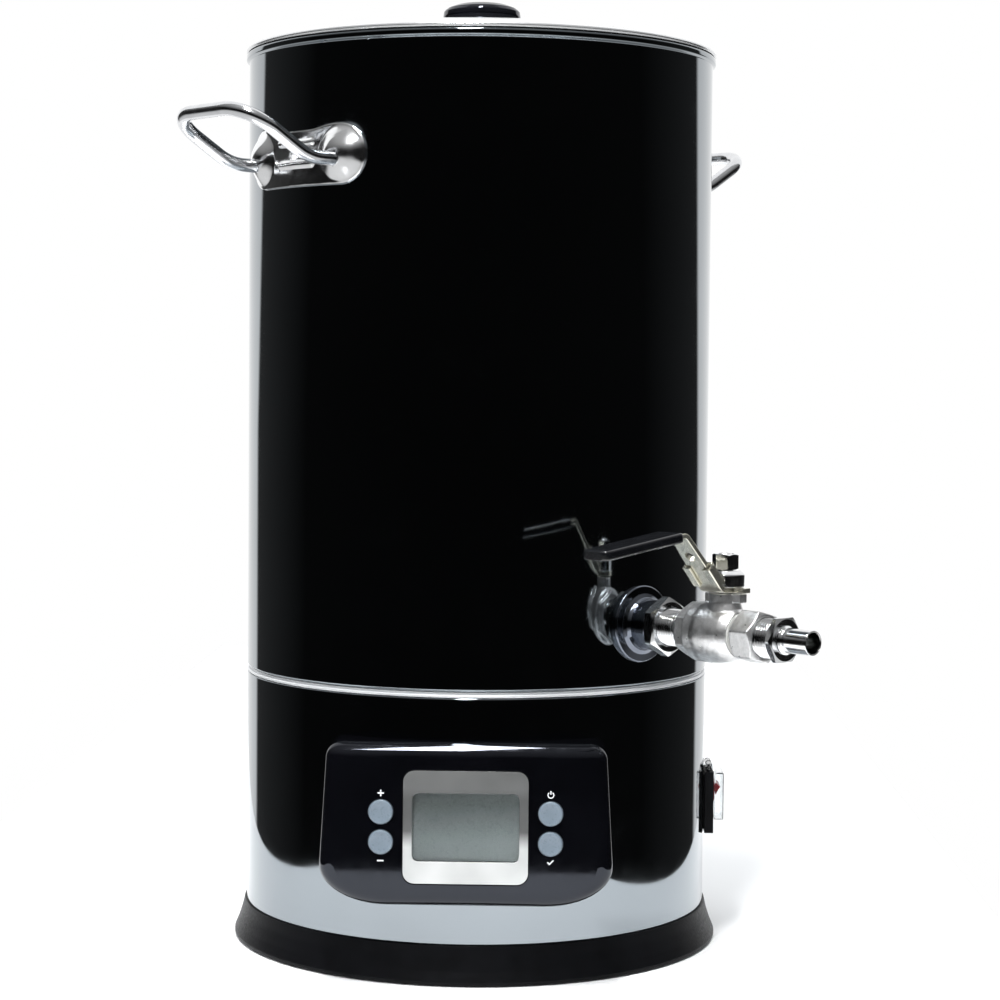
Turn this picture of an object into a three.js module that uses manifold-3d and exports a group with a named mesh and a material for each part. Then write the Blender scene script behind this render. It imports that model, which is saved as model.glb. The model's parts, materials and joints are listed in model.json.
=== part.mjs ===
// Electric all-in-one brewer: a 22 litre black steel kettle with a lift-off lid, standing on a base
// that holds the heater, its electronics and a front control panel. A two-piece ball valve drains it.
//
// Millimetres, +Z up. The origin is the middle of the bottom cover's flat underside, on the kettle's
// axis. The control panel faces -Y and the mains switch faces +X.

import * as THREE from 'three';
import { mergeVertices } from 'three/addons/utils/BufferGeometryUtils.js';
import Module from 'manifold-3d';

const wasm = await Module();
wasm.setup();

// ---------------------------------------------------------------- driving dimensions

const GAP = 0.3; // clearance between pieces that are pressed or screwed together
const FIT = 0.35; // radial clearance of a pin, stem or pipe in its hole

const KETTLE_R = 140; // outside of the kettle and of the base skirt
const SHEET = 1.2; // sheet steel of the kettle and the base
const RIM_Z = 529; // top of the kettle's rolled rim
const KETTLE_FLOOR_Z = 163; // inside of the kettle's floor
const SEAM_Z = 158.1; // top of the base skirt
const SKIRT_Z = 19.4; // bottom edge of the base skirt, on the foot ring
const FOOT_DROP = 3; // the rubber feet reach this far below the bottom cover
const ROUND = 48; // sides of the large turned pieces

const VALVE_AZIMUTH = 44; // degrees from the front towards +X
const VALVE_Z = 197.2; // height of the valve's pipe axis
const HANDLE_AZIMUTHS = { left: -46, right: 134 };
const HANDLE_Z = 461.5; // height of the middle of the handle brackets

const PANEL = { width: 163.4, topWidth: 156.5, bottom: 43.4, top: 134.7, front: 154, wall: 3.2 };
const DISPLAY_Z = 88.3; // middle of the display
const SWITCH_Z = 79; // middle of the mains switch
const INLET_Z = 45; // middle of the power inlet

// ---------------------------------------------------------------- solids and booleans

function signedVolume(position, triangles) {
  const [a, b, c] = [new THREE.Vector3(), new THREE.Vector3(), new THREE.Vector3()];
  let volume = 0;
  for (let i = 0; i < triangles.length; i += 3) {
    a.fromArray(position, 3 * triangles[i]);
    b.fromArray(position, 3 * triangles[i + 1]);
    c.fromArray(position, 3 * triangles[i + 2]);
    volume += a.dot(b.cross(c));
  }
  return volume;
}

// A closed three.js geometry as a manifold solid: welded, without needle triangles, facing outwards.
function toSolid(geometry) {
  const bare = geometry.clone();
  bare.deleteAttribute('normal');
  bare.deleteAttribute('uv');
  const welded = mergeVertices(bare, 1e-4);
  const position = welded.attributes.position.array;
  const index = welded.index.array;
  const triangles = [];
  for (let i = 0; i < index.length; i += 3) {
    const [a, b, c] = [index[i], index[i + 1], index[i + 2]];
    if (a !== b && b !== c && c !== a) {
      triangles.push(a, b, c);
    }
  }
  if (signedVolume(position, triangles) < 0) {
    triangles.reverse();
  }
  const mesh = new wasm.Mesh({
    numProp: 3,
    vertProperties: new Float32Array(position),
    triVerts: new Uint32Array(triangles),
  });
  mesh.merge();
  return new wasm.Manifold(mesh);
}

function toGeometry(solid) {
  const mesh = solid.getMesh();
  const geometry = new THREE.BufferGeometry();
  geometry.setAttribute('position', new THREE.BufferAttribute(new Float32Array(mesh.vertProperties), 3));
  geometry.setIndex(new THREE.BufferAttribute(new Uint32Array(mesh.triVerts), 1));
  geometry.computeVertexNormals();
  return geometry;
}

function fuse(first, ...others) {
  return toGeometry(others.reduce((solid, other) => solid.add(toSolid(other)), toSolid(first)));
}

function cut(first, ...others) {
  return toGeometry(others.reduce((solid, other) => solid.subtract(toSolid(other)), toSolid(first)));
}

function common(first, second) {
  return toGeometry(toSolid(first).intersect(toSolid(second)));
}

// ---------------------------------------------------------------- basic shapes

// Turned about Z. A profile is a list of [radius, z], from axis to axis or closing on itself.
function turned(profile, sides = 24) {
  const points = profile.map(([radius, z]) => new THREE.Vector2(radius, z));
  return new THREE.LatheGeometry(points, sides).rotateX(Math.PI / 2);
}

function disc(radius, low, high, sides) {
  return turned([[0, low], [radius, low], [radius, high], [0, high]], sides);
}

function ring(inner, outer, low, high, sides) {
  return turned([[inner, low], [outer, low], [outer, high], [inner, high], [inner, low]], sides);
}

function block([x0, x1], [y0, y1], [z0, z1]) {
  const box = new THREE.BoxGeometry(x1 - x0, y1 - y0, z1 - z0);
  return box.translate((x0 + x1) / 2, (y0 + y1) / 2, (z0 + z1) / 2);
}

function hexBar(acrossFlats, low, high) {
  return turned([[0, low], [1, low], [1, high], [0, high]], 6).scale(
    acrossFlats / Math.sqrt(3), acrossFlats / Math.sqrt(3), 1);
}

function hexNut(acrossFlats, bore, low, high) {
  return cut(hexBar(acrossFlats, low, high), disc(bore, low - 1, high + 1, 24));
}

// Turns a shape made about Z so that its axis runs along +X, or towards the front, -Y.
const alongX = (geometry) => geometry.rotateY(Math.PI / 2);
const towardsFront = (geometry) => geometry.rotateX(Math.PI / 2);
const acrossY = (geometry) => geometry.rotateX(-Math.PI / 2);

function roundedRect(width, bottom, top, bottomRadius, topRadius) {
  const [left, right] = [-width / 2, width / 2];
  const shape = new THREE.Shape();
  shape.moveTo(left + bottomRadius, bottom);
  shape.lineTo(right - bottomRadius, bottom);
  shape.absarc(right - bottomRadius, bottom + bottomRadius, bottomRadius, -Math.PI / 2, 0);
  shape.lineTo(right, top - topRadius);
  shape.absarc(right - topRadius, top - topRadius, topRadius, 0, Math.PI / 2);
  shape.lineTo(left + topRadius, top);
  shape.absarc(left + topRadius, top - topRadius, topRadius, Math.PI / 2, Math.PI);
  shape.lineTo(left, bottom + bottomRadius);
  shape.absarc(left + bottomRadius, bottom + bottomRadius, bottomRadius, Math.PI, 1.5 * Math.PI);
  return shape;
}

function extruded(shape, depth, options = {}) {
  return new THREE.ExtrudeGeometry(shape, { depth, bevelEnabled: false, curveSegments: 3, ...options });
}

// A shape drawn in X and Z, extruded from depth y = back to y = front (front is more negative).
function frontPlate(shape, front, back) {
  return towardsFront(extruded(shape, front - back)).translate(0, -back, 0);
}

// A round bar or wire along a curve.
function swept(curve, radius, sides, steps) {
  const section = new THREE.Shape();
  for (let i = 0; i < sides; i += 1) {
    const angle = (2 * Math.PI * i) / sides;
    const [x, y] = [radius * Math.cos(angle), radius * Math.sin(angle)];
    if (i === 0) {
      section.moveTo(x, y);
    } else {
      section.lineTo(x, y);
    }
  }
  return extruded(section, 0, { steps, extrudePath: curve });
}

function smoothCurve(points) {
  return new THREE.CatmullRomCurve3(points.map((point) => new THREE.Vector3(...point)), false, 'centripetal');
}

// The outline of a strip of sheet bent along a line of [u, v] points.
function stripShape(line, thickness) {
  const points = line.map(([u, v]) => new THREE.Vector2(u, v));
  const normals = points.slice(1).map((point, i) => {
    const along = point.clone().sub(points[i]).normalize();
    return new THREE.Vector2(-along.y, along.x);
  });
  const offset = (i, side) => {
    const before = normals[Math.max(i - 1, 0)];
    const after = normals[Math.min(i, normals.length - 1)];
    const mitre = before.clone().add(after).normalize();
    const reach = (side * thickness) / 2 / mitre.dot(after);
    return points[i].clone().addScaledVector(mitre, reach);
  };
  const upper = points.map((_, i) => offset(i, 1));
  const lower = points.map((_, i) => offset(i, -1)).reverse();
  return new THREE.Shape([...upper, ...lower]);
}

// ---------------------------------------------------------------- materials

function finish(color, metalness, roughness, extra = {}) {
  return () => new THREE.MeshStandardMaterial({ color, metalness, roughness, ...extra });
}

const blackGloss = finish(0x0a0b0d, 0.2, 0.12);
const polishedSteel = finish(0xd5d8db, 1, 0.12);
const castSteel = finish(0xb9bcbf, 1, 0.38);
const zincSteel = finish(0xc9c4ac, 1, 0.3);
const rodSteel = finish(0x9aa0a8, 1, 0.2);
const aluminium = finish(0xc3c6c9, 1, 0.45);
const blackPlastic = finish(0x0c0d0f, 0, 0.22);
const satinPlastic = finish(0x15171a, 0, 0.45);
const silverPlastic = finish(0xcfd2d6, 0.6, 0.32);
const buttonPlastic = finish(0xa3b1bd, 0, 0.4);
const redPlastic = finish(0xa51d28, 0, 0.3);
const clearPlastic = finish(0xdfe3e6, 0, 0.1, { transparent: true, opacity: 0.35 });
const displayGlass = finish(0x7f918c, 0, 0.15);
const greenBoard = finish(0x1d5a3a, 0, 0.5);
const rubber = finish(0x17181a, 0, 0.8);
const vinyl = finish(0x101114, 0, 0.4);
const silicone = finish(0x8c2f27, 0, 0.6);
const teflon = finish(0xf0efe9, 0, 0.5);

const brewer = new THREE.Group();

function add(name, geometry, material, parent = brewer) {
  const mesh = new THREE.Mesh(toGeometry(toSolid(geometry)), material());
  mesh.name = name;
  parent.add(mesh);
}

// A group whose +X points away from the kettle's axis at an azimuth, with z = 0 at a height.
function radialGroup(azimuth, height) {
  const group = new THREE.Group();
  group.rotation.z = THREE.MathUtils.degToRad(azimuth - 90);
  group.position.z = height;
  brewer.add(group);
  return group;
}

// The kettle's wall as a cutting tool, clear of the wall by GAP.
function wallTool(clearance = GAP) {
  return disc(KETTLE_R + clearance + 0.1, -600, 600, 2 * ROUND);
}

// ---------------------------------------------------------------- kettle and lid

function kettleShell() {
  const inner = KETTLE_R - SHEET;
  const under = KETTLE_FLOOR_Z - SHEET - 0.2;
  const shell = turned([
    [0, under],
    [KETTLE_R - 2.4, under],
    [KETTLE_R, under + 2.4],
    [KETTLE_R, RIM_Z - 4.6],
    [KETTLE_R + 1.8, RIM_Z - 3.4],
    [KETTLE_R + 1.8, RIM_Z - 1],
    [KETTLE_R + 0.6, RIM_Z],
    [inner, RIM_Z],
    [inner, KETTLE_FLOOR_Z + 5],
    [inner - 5, KETTLE_FLOOR_Z],
    [0, KETTLE_FLOOR_Z],
  ], ROUND);
  const outlet = alongX(disc(NIPPLE_R + FIT, 120, 160, 24)).translate(0, 0, VALVE_Z);
  return cut(shell, outlet.rotateZ(THREE.MathUtils.degToRad(VALVE_AZIMUTH - 90)));
}

const LID_Z = RIM_Z + GAP;
const LID_TOP_Z = RIM_Z + 19;
const LID_SHEET = 0.9;

function lid() {
  const edge = KETTLE_R + 1.9;
  const plug = KETTLE_R - SHEET - 1;
  const dome = [[24, -0.5], [64, -3.4], [104, -9], [130, -14]];
  const top = dome.map(([radius, drop]) => [radius, LID_TOP_Z + drop]);
  const underside = top.map(([radius, z]) => [radius, z - LID_SHEET]).reverse();
  return turned([
    [SCREW_R + FIT, LID_TOP_Z],
    ...top,
    [138, LID_Z + 3.2],
    [edge - 0.4, LID_Z + 2.4],
    [edge, LID_Z + 1.2],
    [edge - 0.5, LID_Z],
    [plug, LID_Z],
    [plug, LID_Z - 6],
    [plug - 1, LID_Z - 6],
    [plug - 1, LID_Z + 2],
    ...underside,
    [SCREW_R + FIT, LID_TOP_Z - LID_SHEET],
    [SCREW_R + FIT, LID_TOP_Z],
  ], ROUND);
}

const SCREW_R = 2.5;
const KNOB_Z = LID_TOP_Z + 2;

function lidKnob() {
  const bore = SCREW_R + FIT;
  return turned([
    [0, KNOB_Z + 12.4],
    [15, KNOB_Z + 12.2],
    [20.8, KNOB_Z + 10.9],
    [23, KNOB_Z + 8.4],
    [23.5, KNOB_Z + 4.4],
    [22.6, KNOB_Z + 1],
    [19.6, KNOB_Z],
    [bore, KNOB_Z],
    [bore, KNOB_Z + 7.3],
    [0, KNOB_Z + 7.3],
  ], 28);
}

function knobScrew() {
  const head = LID_TOP_Z - LID_SHEET - GAP - 0.2;
  return turned([
    [0, head - 2.8],
    [5, head - 2.8],
    [5, head],
    [SCREW_R, head],
    [SCREW_R, KNOB_Z + 7],
    [0, KNOB_Z + 7],
  ], 14);
}

function buildKettle() {
  const jointRing = ring(128, KETTLE_R - 1.6, SEAM_Z + GAP, KETTLE_FLOOR_Z - SHEET - 0.2 - GAP, ROUND);
  add('kettle_shell', kettleShell(), blackGloss);
  add('joint_ring', jointRing, polishedSteel);
  add('lid', lid(), polishedSteel);
  add('knob_collar', ring(SCREW_R + FIT, 16, LID_TOP_Z + GAP, KNOB_Z - GAP, 24), polishedSteel);
  add('lid_knob', lidKnob(), blackPlastic);
  add('knob_screw', knobScrew(), polishedSteel);
}

// ---------------------------------------------------------------- handles

const ROD_R = 4;
// The rod's legs leave the bracket at start, turn upwards at foot and meet the grip bar at reach.
const ROD = { legY: 36, z: -3.6, start: 143, foot: 161, reach: 203, rise: 24.5, footBend: 9, corner: 20 };
const BRACKET = { halfLength: 51.6, halfHeight: 17.5, sheet: 2, bossR: 15.4, bossAngle: 14.5 };

function handleBracket() {
  const { halfLength, halfHeight, sheet, bossR, bossAngle } = BRACKET;
  const outline = roundedRect(2 * halfLength, -halfHeight, halfHeight, halfHeight - 0.1, halfHeight - 0.1);
  const plate = frontPlate(outline, 160, 100).rotateZ(Math.PI / 2);
  const strap = common(ring(KETTLE_R + GAP, KETTLE_R + sheet, -20, 20, 2 * ROUND), plate);
  const rib = (z) => common(
    ring(KETTLE_R + GAP, KETTLE_R + sheet + 1.6, z - 2.3, z + 2.3, 2 * ROUND),
    block([100, 160], [-16.5, 16.5], [z - 3, z + 3]));
  const dome = [[0, 120], [bossR, 120], [bossR, 141.6], [14, 143.9], [11, 146.2], [6.5, 147.9], [0, 148.6]];
  const boss = (side) => cut(
    alongX(turned(dome, 20)).rotateZ(THREE.MathUtils.degToRad(side * bossAngle)),
    alongX(disc(ROD_R + FIT, ROD.start - GAP, 165, 12)).translate(0, side * ROD.legY, ROD.z));
  return cut(fuse(strap, rib(8.6), rib(-4.6), boss(1), boss(-1)), wallTool(0.2));
}

// A path through corner points [x, y, z, t], each bend starting a length t before its corner.
function bentPath(corners) {
  const points = corners.map(([x, y, z]) => new THREE.Vector3(x, y, z));
  const path = new THREE.CurvePath();
  let from = points[0];
  for (let i = 1; i < points.length - 1; i += 1) {
    const towards = (other) => other.clone().sub(points[i]).setLength(corners[i][3]).add(points[i]);
    const [start, end] = [towards(points[i - 1]), towards(points[i + 1])];
    path.add(new THREE.LineCurve3(from, start));
    path.add(new THREE.QuadraticBezierCurve3(start, points[i], end));
    from = end;
  }
  path.add(new THREE.LineCurve3(from, points[points.length - 1]));
  return path;
}

function handleRod() {
  const { legY, z, start, foot, reach, rise, footBend, corner } = ROD;
  const leg = (y) => [[start, y, z], [foot, y, z, footBend], [reach, y, z + rise, corner]];
  return swept(bentPath([...leg(legY), ...leg(-legY).reverse()]), ROD_R, 8, 44);
}

function buildHandles() {
  for (const [side, azimuth] of Object.entries(HANDLE_AZIMUTHS)) {
    const group = radialGroup(azimuth, HANDLE_Z);
    add(`handle_bracket_${side}`, handleBracket(), polishedSteel, group);
    add(`handle_rod_${side}`, handleRod(), rodSteel, group);
  }
}

// ---------------------------------------------------------------- base shells

function baseSkirt() {
  const inner = KETTLE_R - SHEET;
  const { bodyY, bodyZ } = SWITCH;
  const shell = turned([
    [inner, SKIRT_Z],
    [KETTLE_R, SKIRT_Z],
    [KETTLE_R, SEAM_Z - 0.8],
    [KETTLE_R - 0.8, SEAM_Z],
    [128, SEAM_Z],
    [128, SEAM_Z - SHEET],
    [inner, SEAM_Z - SHEET],
    [inner, SKIRT_Z],
  ], ROUND);
  return cut(
    shell,
    block([-64, 64], [-150, -110], [DISPLAY_Z - 27, DISPLAY_Z + 27]),
    block([120, 150], [-bodyY - 0.4, bodyY + 0.4], [SWITCH_Z - bodyZ - 0.4, SWITCH_Z + bodyZ + 0.4]),
    block([-14, 14], [120, 150], [INLET_Z - 10, INLET_Z + 10]));
}

function footRing() {
  const top = SKIRT_Z - GAP;
  const tongue = KETTLE_R - SHEET - 0.5;
  return turned([
    [135.2, 1 - FOOT_DROP],
    [147.2, 1 - FOOT_DROP],
    [147.2, 0],
    [144.9, 5.5],
    [142.6, 12.5],
    [141.1, top],
    [tongue, top],
    [tongue, top + 6],
    [tongue - 2.4, top + 6],
    [tongue - 2.4, 5],
    [128.5, 5],
    [128.5, 2.4],
    [135.2, 2.4],
    [135.2, 1 - FOOT_DROP],
  ], ROUND);
}

const BOARD = { x: 55, y: 40, low: 10, high: 11.6 };

function bottomCover() {
  const slots = [];
  for (let i = 0; i < 8; i += 1) {
    const slot = block([72, 104], [-2, 2], [-1, 4]);
    slots.push(slot.rotateZ((Math.PI / 4) * (i + 0.5)));
  }
  const posts = [];
  for (const x of [-48, 48]) {
    for (const y of [-33, 33]) {
      posts.push(disc(3.5, 1, BOARD.low - GAP, 12).translate(x, y, 0));
    }
  }
  return cut(fuse(disc(134.8, 0, 2.1, ROUND), ...posts), ...slots);
}

function rubberFoot() {
  return turned([[0, -FOOT_DROP], [7.5, -FOOT_DROP], [9, -FOOT_DROP + 1.2], [9, -GAP], [0, -GAP]], 12);
}

function buildBase() {
  add('base_skirt', baseSkirt(), blackGloss);
  add('foot_ring', footRing(), satinPlastic);
  add('bottom_cover', bottomCover(), satinPlastic);
  for (let i = 0; i < 4; i += 1) {
    const angle = (Math.PI / 4) * (2 * i + 1);
    const foot = rubberFoot().translate(118 * Math.cos(angle), 118 * Math.sin(angle), 0);
    add(`rubber_foot_${i + 1}`, foot, rubber);
  }
}

// ---------------------------------------------------------------- heater and electronics

const PLATE_TOP = KETTLE_FLOOR_Z - SHEET - 0.2 - GAP;
const PLATE_LOW = PLATE_TOP - 5.4;
const ELEMENT = { ringR: 72, tubeR: 3.5, terminalZ: 132 };
const TERMINAL = [-69.5, 18.6];

function heatingElement() {
  const z = PLATE_LOW - 1.2 - ELEMENT.tubeR;
  const [x, y] = TERMINAL;
  const points = [[x, y, ELEMENT.terminalZ], [x, y, z - 8]];
  const turns = 16;
  const end = 160;
  for (let i = 0; i <= turns; i += 1) {
    const angle = THREE.MathUtils.degToRad(end - (2 * end * i) / turns);
    points.push([ELEMENT.ringR * Math.cos(angle), ELEMENT.ringR * Math.sin(angle), z]);
  }
  points.push([x, -y, z - 8], [x, -y, ELEMENT.terminalZ]);
  return swept(smoothCurve(points), ELEMENT.tubeR, 6, 34);
}

function temperatureProbe() {
  const top = PLATE_LOW - GAP;
  return turned([[0, 140], [3, 140], [3, 146], [5, 147], [5, top], [0, top]], 16);
}

function heatShield() {
  const low = 117.4;
  const wall = 126.6;
  const lip = SEAM_Z - SHEET - GAP;
  return turned([
    [10, low],
    [wall, low],
    [wall, lip - 1],
    [KETTLE_R - 2.6, lip - 1],
    [KETTLE_R - 2.6, lip],
    [wall - 1, lip],
    [wall - 1, low + 1],
    [10, low + 1],
    [10, low],
  ], ROUND);
}

function controlBoard() {
  const board = block([-BOARD.x, BOARD.x], [-BOARD.y, BOARD.y], [BOARD.low, BOARD.high]);
  const relay = block([-8, 12], [-30, -2], [BOARD.high - 0.2, 26]);
  const terminals = block([28, 50], [8, 30], [BOARD.high - 0.2, 24]);
  const capacitor = disc(6, BOARD.high - 0.2, 30, 16).translate(-2, 18, 0);
  return fuse(board, relay, terminals, capacitor);
}

function heatSink() {
  const low = BOARD.high + GAP;
  const fins = [];
  for (let i = 0; i < 5; i += 1) {
    const x = -50 + 7 * i;
    fins.push(block([x, x + 2], [-34, 2], [low, 36]));
  }
  return fuse(block([-50, -20], [-34, 2], [low, low + 3]), ...fins);
}

function heaterLead(side) {
  const [x, y] = TERMINAL;
  return swept(smoothCurve([
    [38, 19 + 6 * side, 24 + GAP],
    [37, 19 + 6 * side, 34],
    [18, 4 + 4 * side, 70],
    [0, 4 * side, 108],
    [-3, 4 * side, 122],
    [-40, 12 * side, 124.5],
    [x + 3, side * y, 125.5],
    [x, side * y, ELEMENT.terminalZ - 0.8],
  ]), 1.4, 5, 20);
}

function mainsLead() {
  return swept(smoothCurve([
    [0, 117.5, INLET_Z],
    [0, 108, INLET_Z],
    [14, 80, 36],
    [39, 50, 20],
    [39, 30 + GAP, 18],
  ]), 2.2, 6, 18);
}

function buildHeater() {
  add('heater_disc', disc(100, PLATE_LOW, PLATE_TOP, 36), aluminium);
  add('heating_element', heatingElement(), rodSteel);
  add('temperature_probe', temperatureProbe(), polishedSteel);
  add('heat_shield', heatShield(), aluminium);
  add('control_board', controlBoard(), greenBoard);
  add('heat_sink', heatSink(), aluminium);
  add('heater_lead_a', heaterLead(1), silicone);
  add('heater_lead_b', heaterLead(-1), silicone);
  add('mains_lead', mainsLead(), rubber);
}

// ---------------------------------------------------------------- control panel

const BUTTON = { x: 47, r: 6.85, high: 96.7, low: 79.9 };
const BUTTONS = {
  button_plus: [-BUTTON.x, BUTTON.high],
  button_minus: [-BUTTON.x, BUTTON.low],
  button_on_off: [BUTTON.x, BUTTON.high],
  button_set: [BUTTON.x, BUTTON.low],
};
const BEZEL = { width: 69.4, height: 63, radius: 6.3 };
const WINDOW = { width: 59, height: 38, radius: 3.5 };

// A rounded plate shape centred on the display, grown by a margin on every side.
function displayShape({ width, height, radius }, margin) {
  const half = height / 2 + margin;
  const r = Math.max(radius + margin, 0.5);
  return roundedRect(width + 2 * margin, DISPLAY_Z - half, DISPLAY_Z + half, r, r);
}

// The housing's outline: its sides lean in towards the top and its lower corners are wide and round.
function panelShape(inset) {
  const { width, topWidth, bottom, top } = PANEL;
  const [half, topHalf] = [width / 2 - inset, topWidth / 2 - inset];
  const [low, high] = [bottom + inset, top - inset];
  const [wide, tall] = [Math.max(38 - inset, 8), Math.max(22.5 - inset, 6)];
  const tight = Math.max(9 - inset, 2);
  const shape = new THREE.Shape();
  shape.moveTo(wide - half, low);
  shape.lineTo(half - wide, low);
  shape.absellipse(half - wide, low + tall, wide, tall, -Math.PI / 2, 0);
  shape.lineTo(topHalf, high - tight);
  shape.absarc(topHalf - tight, high - tight, tight, 0, Math.PI / 2);
  shape.lineTo(tight - topHalf, high);
  shape.absarc(tight - topHalf, high - tight, tight, Math.PI / 2, Math.PI);
  shape.lineTo(-half, low + tall);
  shape.absellipse(wide - half, low + tall, wide, tall, Math.PI, 1.5 * Math.PI);
  return shape;
}

function panelHousing() {
  const shoulder = 7;
  const { front, wall } = PANEL;
  const bevel = { bevelEnabled: true, bevelThickness: shoulder, bevelSize: shoulder, bevelSegments: 3 };
  const outer = towardsFront(extruded(panelShape(shoulder), front - 2 * shoulder - 100, bevel))
    .translate(0, -100 - shoulder, 0);
  const inside = frontPlate(panelShape(wall), front - wall, 80);
  const recess = frontPlate(displayShape(BEZEL, 0.5), front + 1, front - 1.8);
  const opening = frontPlate(displayShape(WINDOW, 1), front + 1, front - 10);
  const holes = Object.values(BUTTONS).map(([x, z]) => (
    towardsFront(disc(BUTTON.r + FIT, front - 8, front + 2, 16)).translate(x, 0, z)));
  return cut(outer, wallTool(1.2), inside, recess, opening, ...holes);
}

function panelGasket() {
  const onTheWall = ring(KETTLE_R + GAP + 0.1, KETTLE_R + 1, 20, 160, 2 * ROUND);
  const band = common(frontPlate(panelShape(0.6), 150, 80), onTheWall);
  return cut(band, frontPlate(panelShape(PANEL.wall), 160, 70));
}

function panelButton(x, z) {
  const front = PANEL.front;
  const behind = front - PANEL.wall - GAP;
  return towardsFront(turned([
    [0, front + 1.6],
    [5.6, front + 1.5],
    [6.6, front + 1],
    [BUTTON.r, front + 0.3],
    [BUTTON.r, behind],
    [BUTTON.r + 1, behind],
    [BUTTON.r + 1, behind - 1.2],
    [2.5, behind - 1.2],
    [2.5, behind - 1.9],
    [0, behind - 1.9],
  ], 16)).translate(x, 0, z);
}

function keypadBoard() {
  const front = 146.2;
  const board = frontPlate(roundedRect(122, DISPLAY_Z - 22, DISPLAY_Z + 22, 2, 2), front, front - 1.6);
  const contacts = Object.values(BUTTONS).map(([x, z]) => (
    towardsFront(disc(3, front - 0.2, front + 0.9, 8)).translate(x, 0, z)));
  return fuse(board, ...contacts);
}

function buildPanel() {
  const { front, wall } = PANEL;
  const bezel = cut(
    frontPlate(displayShape(BEZEL, 0), front - 0.1, front - 1.5),
    frontPlate(displayShape(WINDOW, 0.3), front + 1, front - 5));
  add('panel_housing', panelHousing(), blackPlastic);
  add('panel_gasket', panelGasket(), rubber);
  add('lcd_bezel', bezel, silverPlastic);
  add('lcd_window', frontPlate(displayShape(WINDOW, 0), front - 0.4, front - 3), clearPlastic);
  add('lcd_module', frontPlate(displayShape(WINDOW, 3), front - wall - GAP, front - wall - 4), displayGlass);
  add('keypad_board', keypadBoard(), greenBoard);
  for (const [name, [x, z]] of Object.entries(BUTTONS)) {
    add(name, panelButton(x, z), buttonPlastic);
  }
}

// ---------------------------------------------------------------- mains switch and power inlet

const SWITCH = {
  face: 145.7,
  halfWidth: 14,
  halfHeight: 18.7,
  bodyY: 10,
  bodyZ: 16.8,
  pocketY: 8.9,
  pocketZ: 15.6,
};
const PIN = { x: 143.1, z: 21.6, r: 1 };
const COVER = { low: -11, high: 18, halfWidth: 11.9, back: 146.2, front: 152, wall: 0.8 };
const ROCKER = { pivot: 140.5, rise: 1.2, halfWidth: 8.5, tilt: THREE.MathUtils.degToRad(12) };

const crossPin = (radius, from, to) => acrossY(disc(radius, from, to, 14)).translate(PIN.x, 0, PIN.z);

// The frame's hinge ears stand at one end and in the middle; the cover's knuckles fill the rest.
const EARS = [[9.4, 11.9], [-1.2, 1.2]];
const KNUCKLES = [[-11.9, -1.6], [1.6, 9]];

function switchFrame() {
  const { face, halfWidth, halfHeight, bodyY, bodyZ, pocketY, pocketZ } = SWITCH;
  const flange = block([KETTLE_R + GAP + 0.1, face], [-halfWidth, halfWidth], [-halfHeight, halfHeight]);
  const body = block([118, face], [-bodyY, bodyY], [-bodyZ, bodyZ]);
  const pocket = block([122, face + 1], [-pocketY, pocketY], [-pocketZ, pocketZ]);
  const ears = EARS.map((span) => fuse(
    crossPin(2, ...span),
    block([PIN.x - 1.6, PIN.x + 1.6], span, [halfHeight - 0.5, PIN.z])));
  return cut(fuse(flange, body, ...ears), pocket, crossPin(PIN.r + 0.3, -13, 13));
}

function switchRocker() {
  const side = new THREE.Shape([
    new THREE.Vector2(7.9, 9.8),
    new THREE.Vector2(5.8, 0),
    new THREE.Vector2(7.9, -9.8),
    new THREE.Vector2(3, -8.8),
    new THREE.Vector2(-4, -8.8),
    new THREE.Vector2(-7, 0),
    new THREE.Vector2(-4, 10.5),
    new THREE.Vector2(3.3, 12),
  ]);
  return extruded(side, 2 * ROCKER.halfWidth)
    .rotateX(Math.PI / 2)
    .translate(0, ROCKER.halfWidth, 0)
    .rotateY(ROCKER.tilt)
    .translate(ROCKER.pivot, 0, ROCKER.rise);
}

function switchCover() {
  const { low, high, halfWidth, front, back, wall } = COVER;
  const lintel = PIN.z + 1.2;
  const box = cut(
    block([back, front], [-halfWidth, halfWidth], [low, high]),
    block([back - 1, front - wall], [-halfWidth + wall, halfWidth - wall], [low + wall, high - wall]));
  const upright = block([back, back + 1.2], [-halfWidth, halfWidth], [high - 0.5, lintel]);
  const shelf = block([PIN.x, back + 1.2], [-halfWidth, halfWidth], [lintel - 1.4, lintel]);
  const knuckles = KNUCKLES.map((span) => crossPin(2, ...span));
  const earRoom = EARS.map(([from, to]) => (
    block([139, PIN.x + 2.5], [from - 0.4, to + 0.4], [PIN.z - 3, PIN.z + 3])));
  return cut(fuse(box, upright, shelf, ...knuckles), ...earRoom, crossPin(PIN.r + 0.3, -13, 13));
}

function powerInlet() {
  const flange = block([KETTLE_R + GAP + 0.1, 143.4], [-24, 24], [-11.5, 11.5]);
  const body = block([118, 142], [-13.6, 13.6], [-9.6, 9.6]);
  const socket = block([124, 146], [-12.1, 12.1], [-8, 8]);
  const blades = [-7, 0, 7].map((y) => block([123, 137], [y - 1, y + 1], [y ? -3 : -1, y ? 1 : 3]));
  const screws = [-19, 19].map((y) => (
    alongX(turned([[0, 143], [3, 143], [2.6, 144.4], [0, 145]], 14)).translate(0, y, 0)));
  return fuse(cut(fuse(flange, body), socket), ...blades, ...screws);
}

function buildSwitchAndInlet() {
  const side = radialGroup(90, SWITCH_Z);
  add('switch_frame', switchFrame(), satinPlastic, side);
  add('switch_rocker', switchRocker(), redPlastic, side);
  add('switch_cover', switchCover(), clearPlastic, side);
  add('cover_pin', crossPin(PIN.r, -11.7, 11.7), polishedSteel, side);
  add('power_inlet', powerInlet(), satinPlastic, radialGroup(180, INLET_Z));
}

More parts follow.
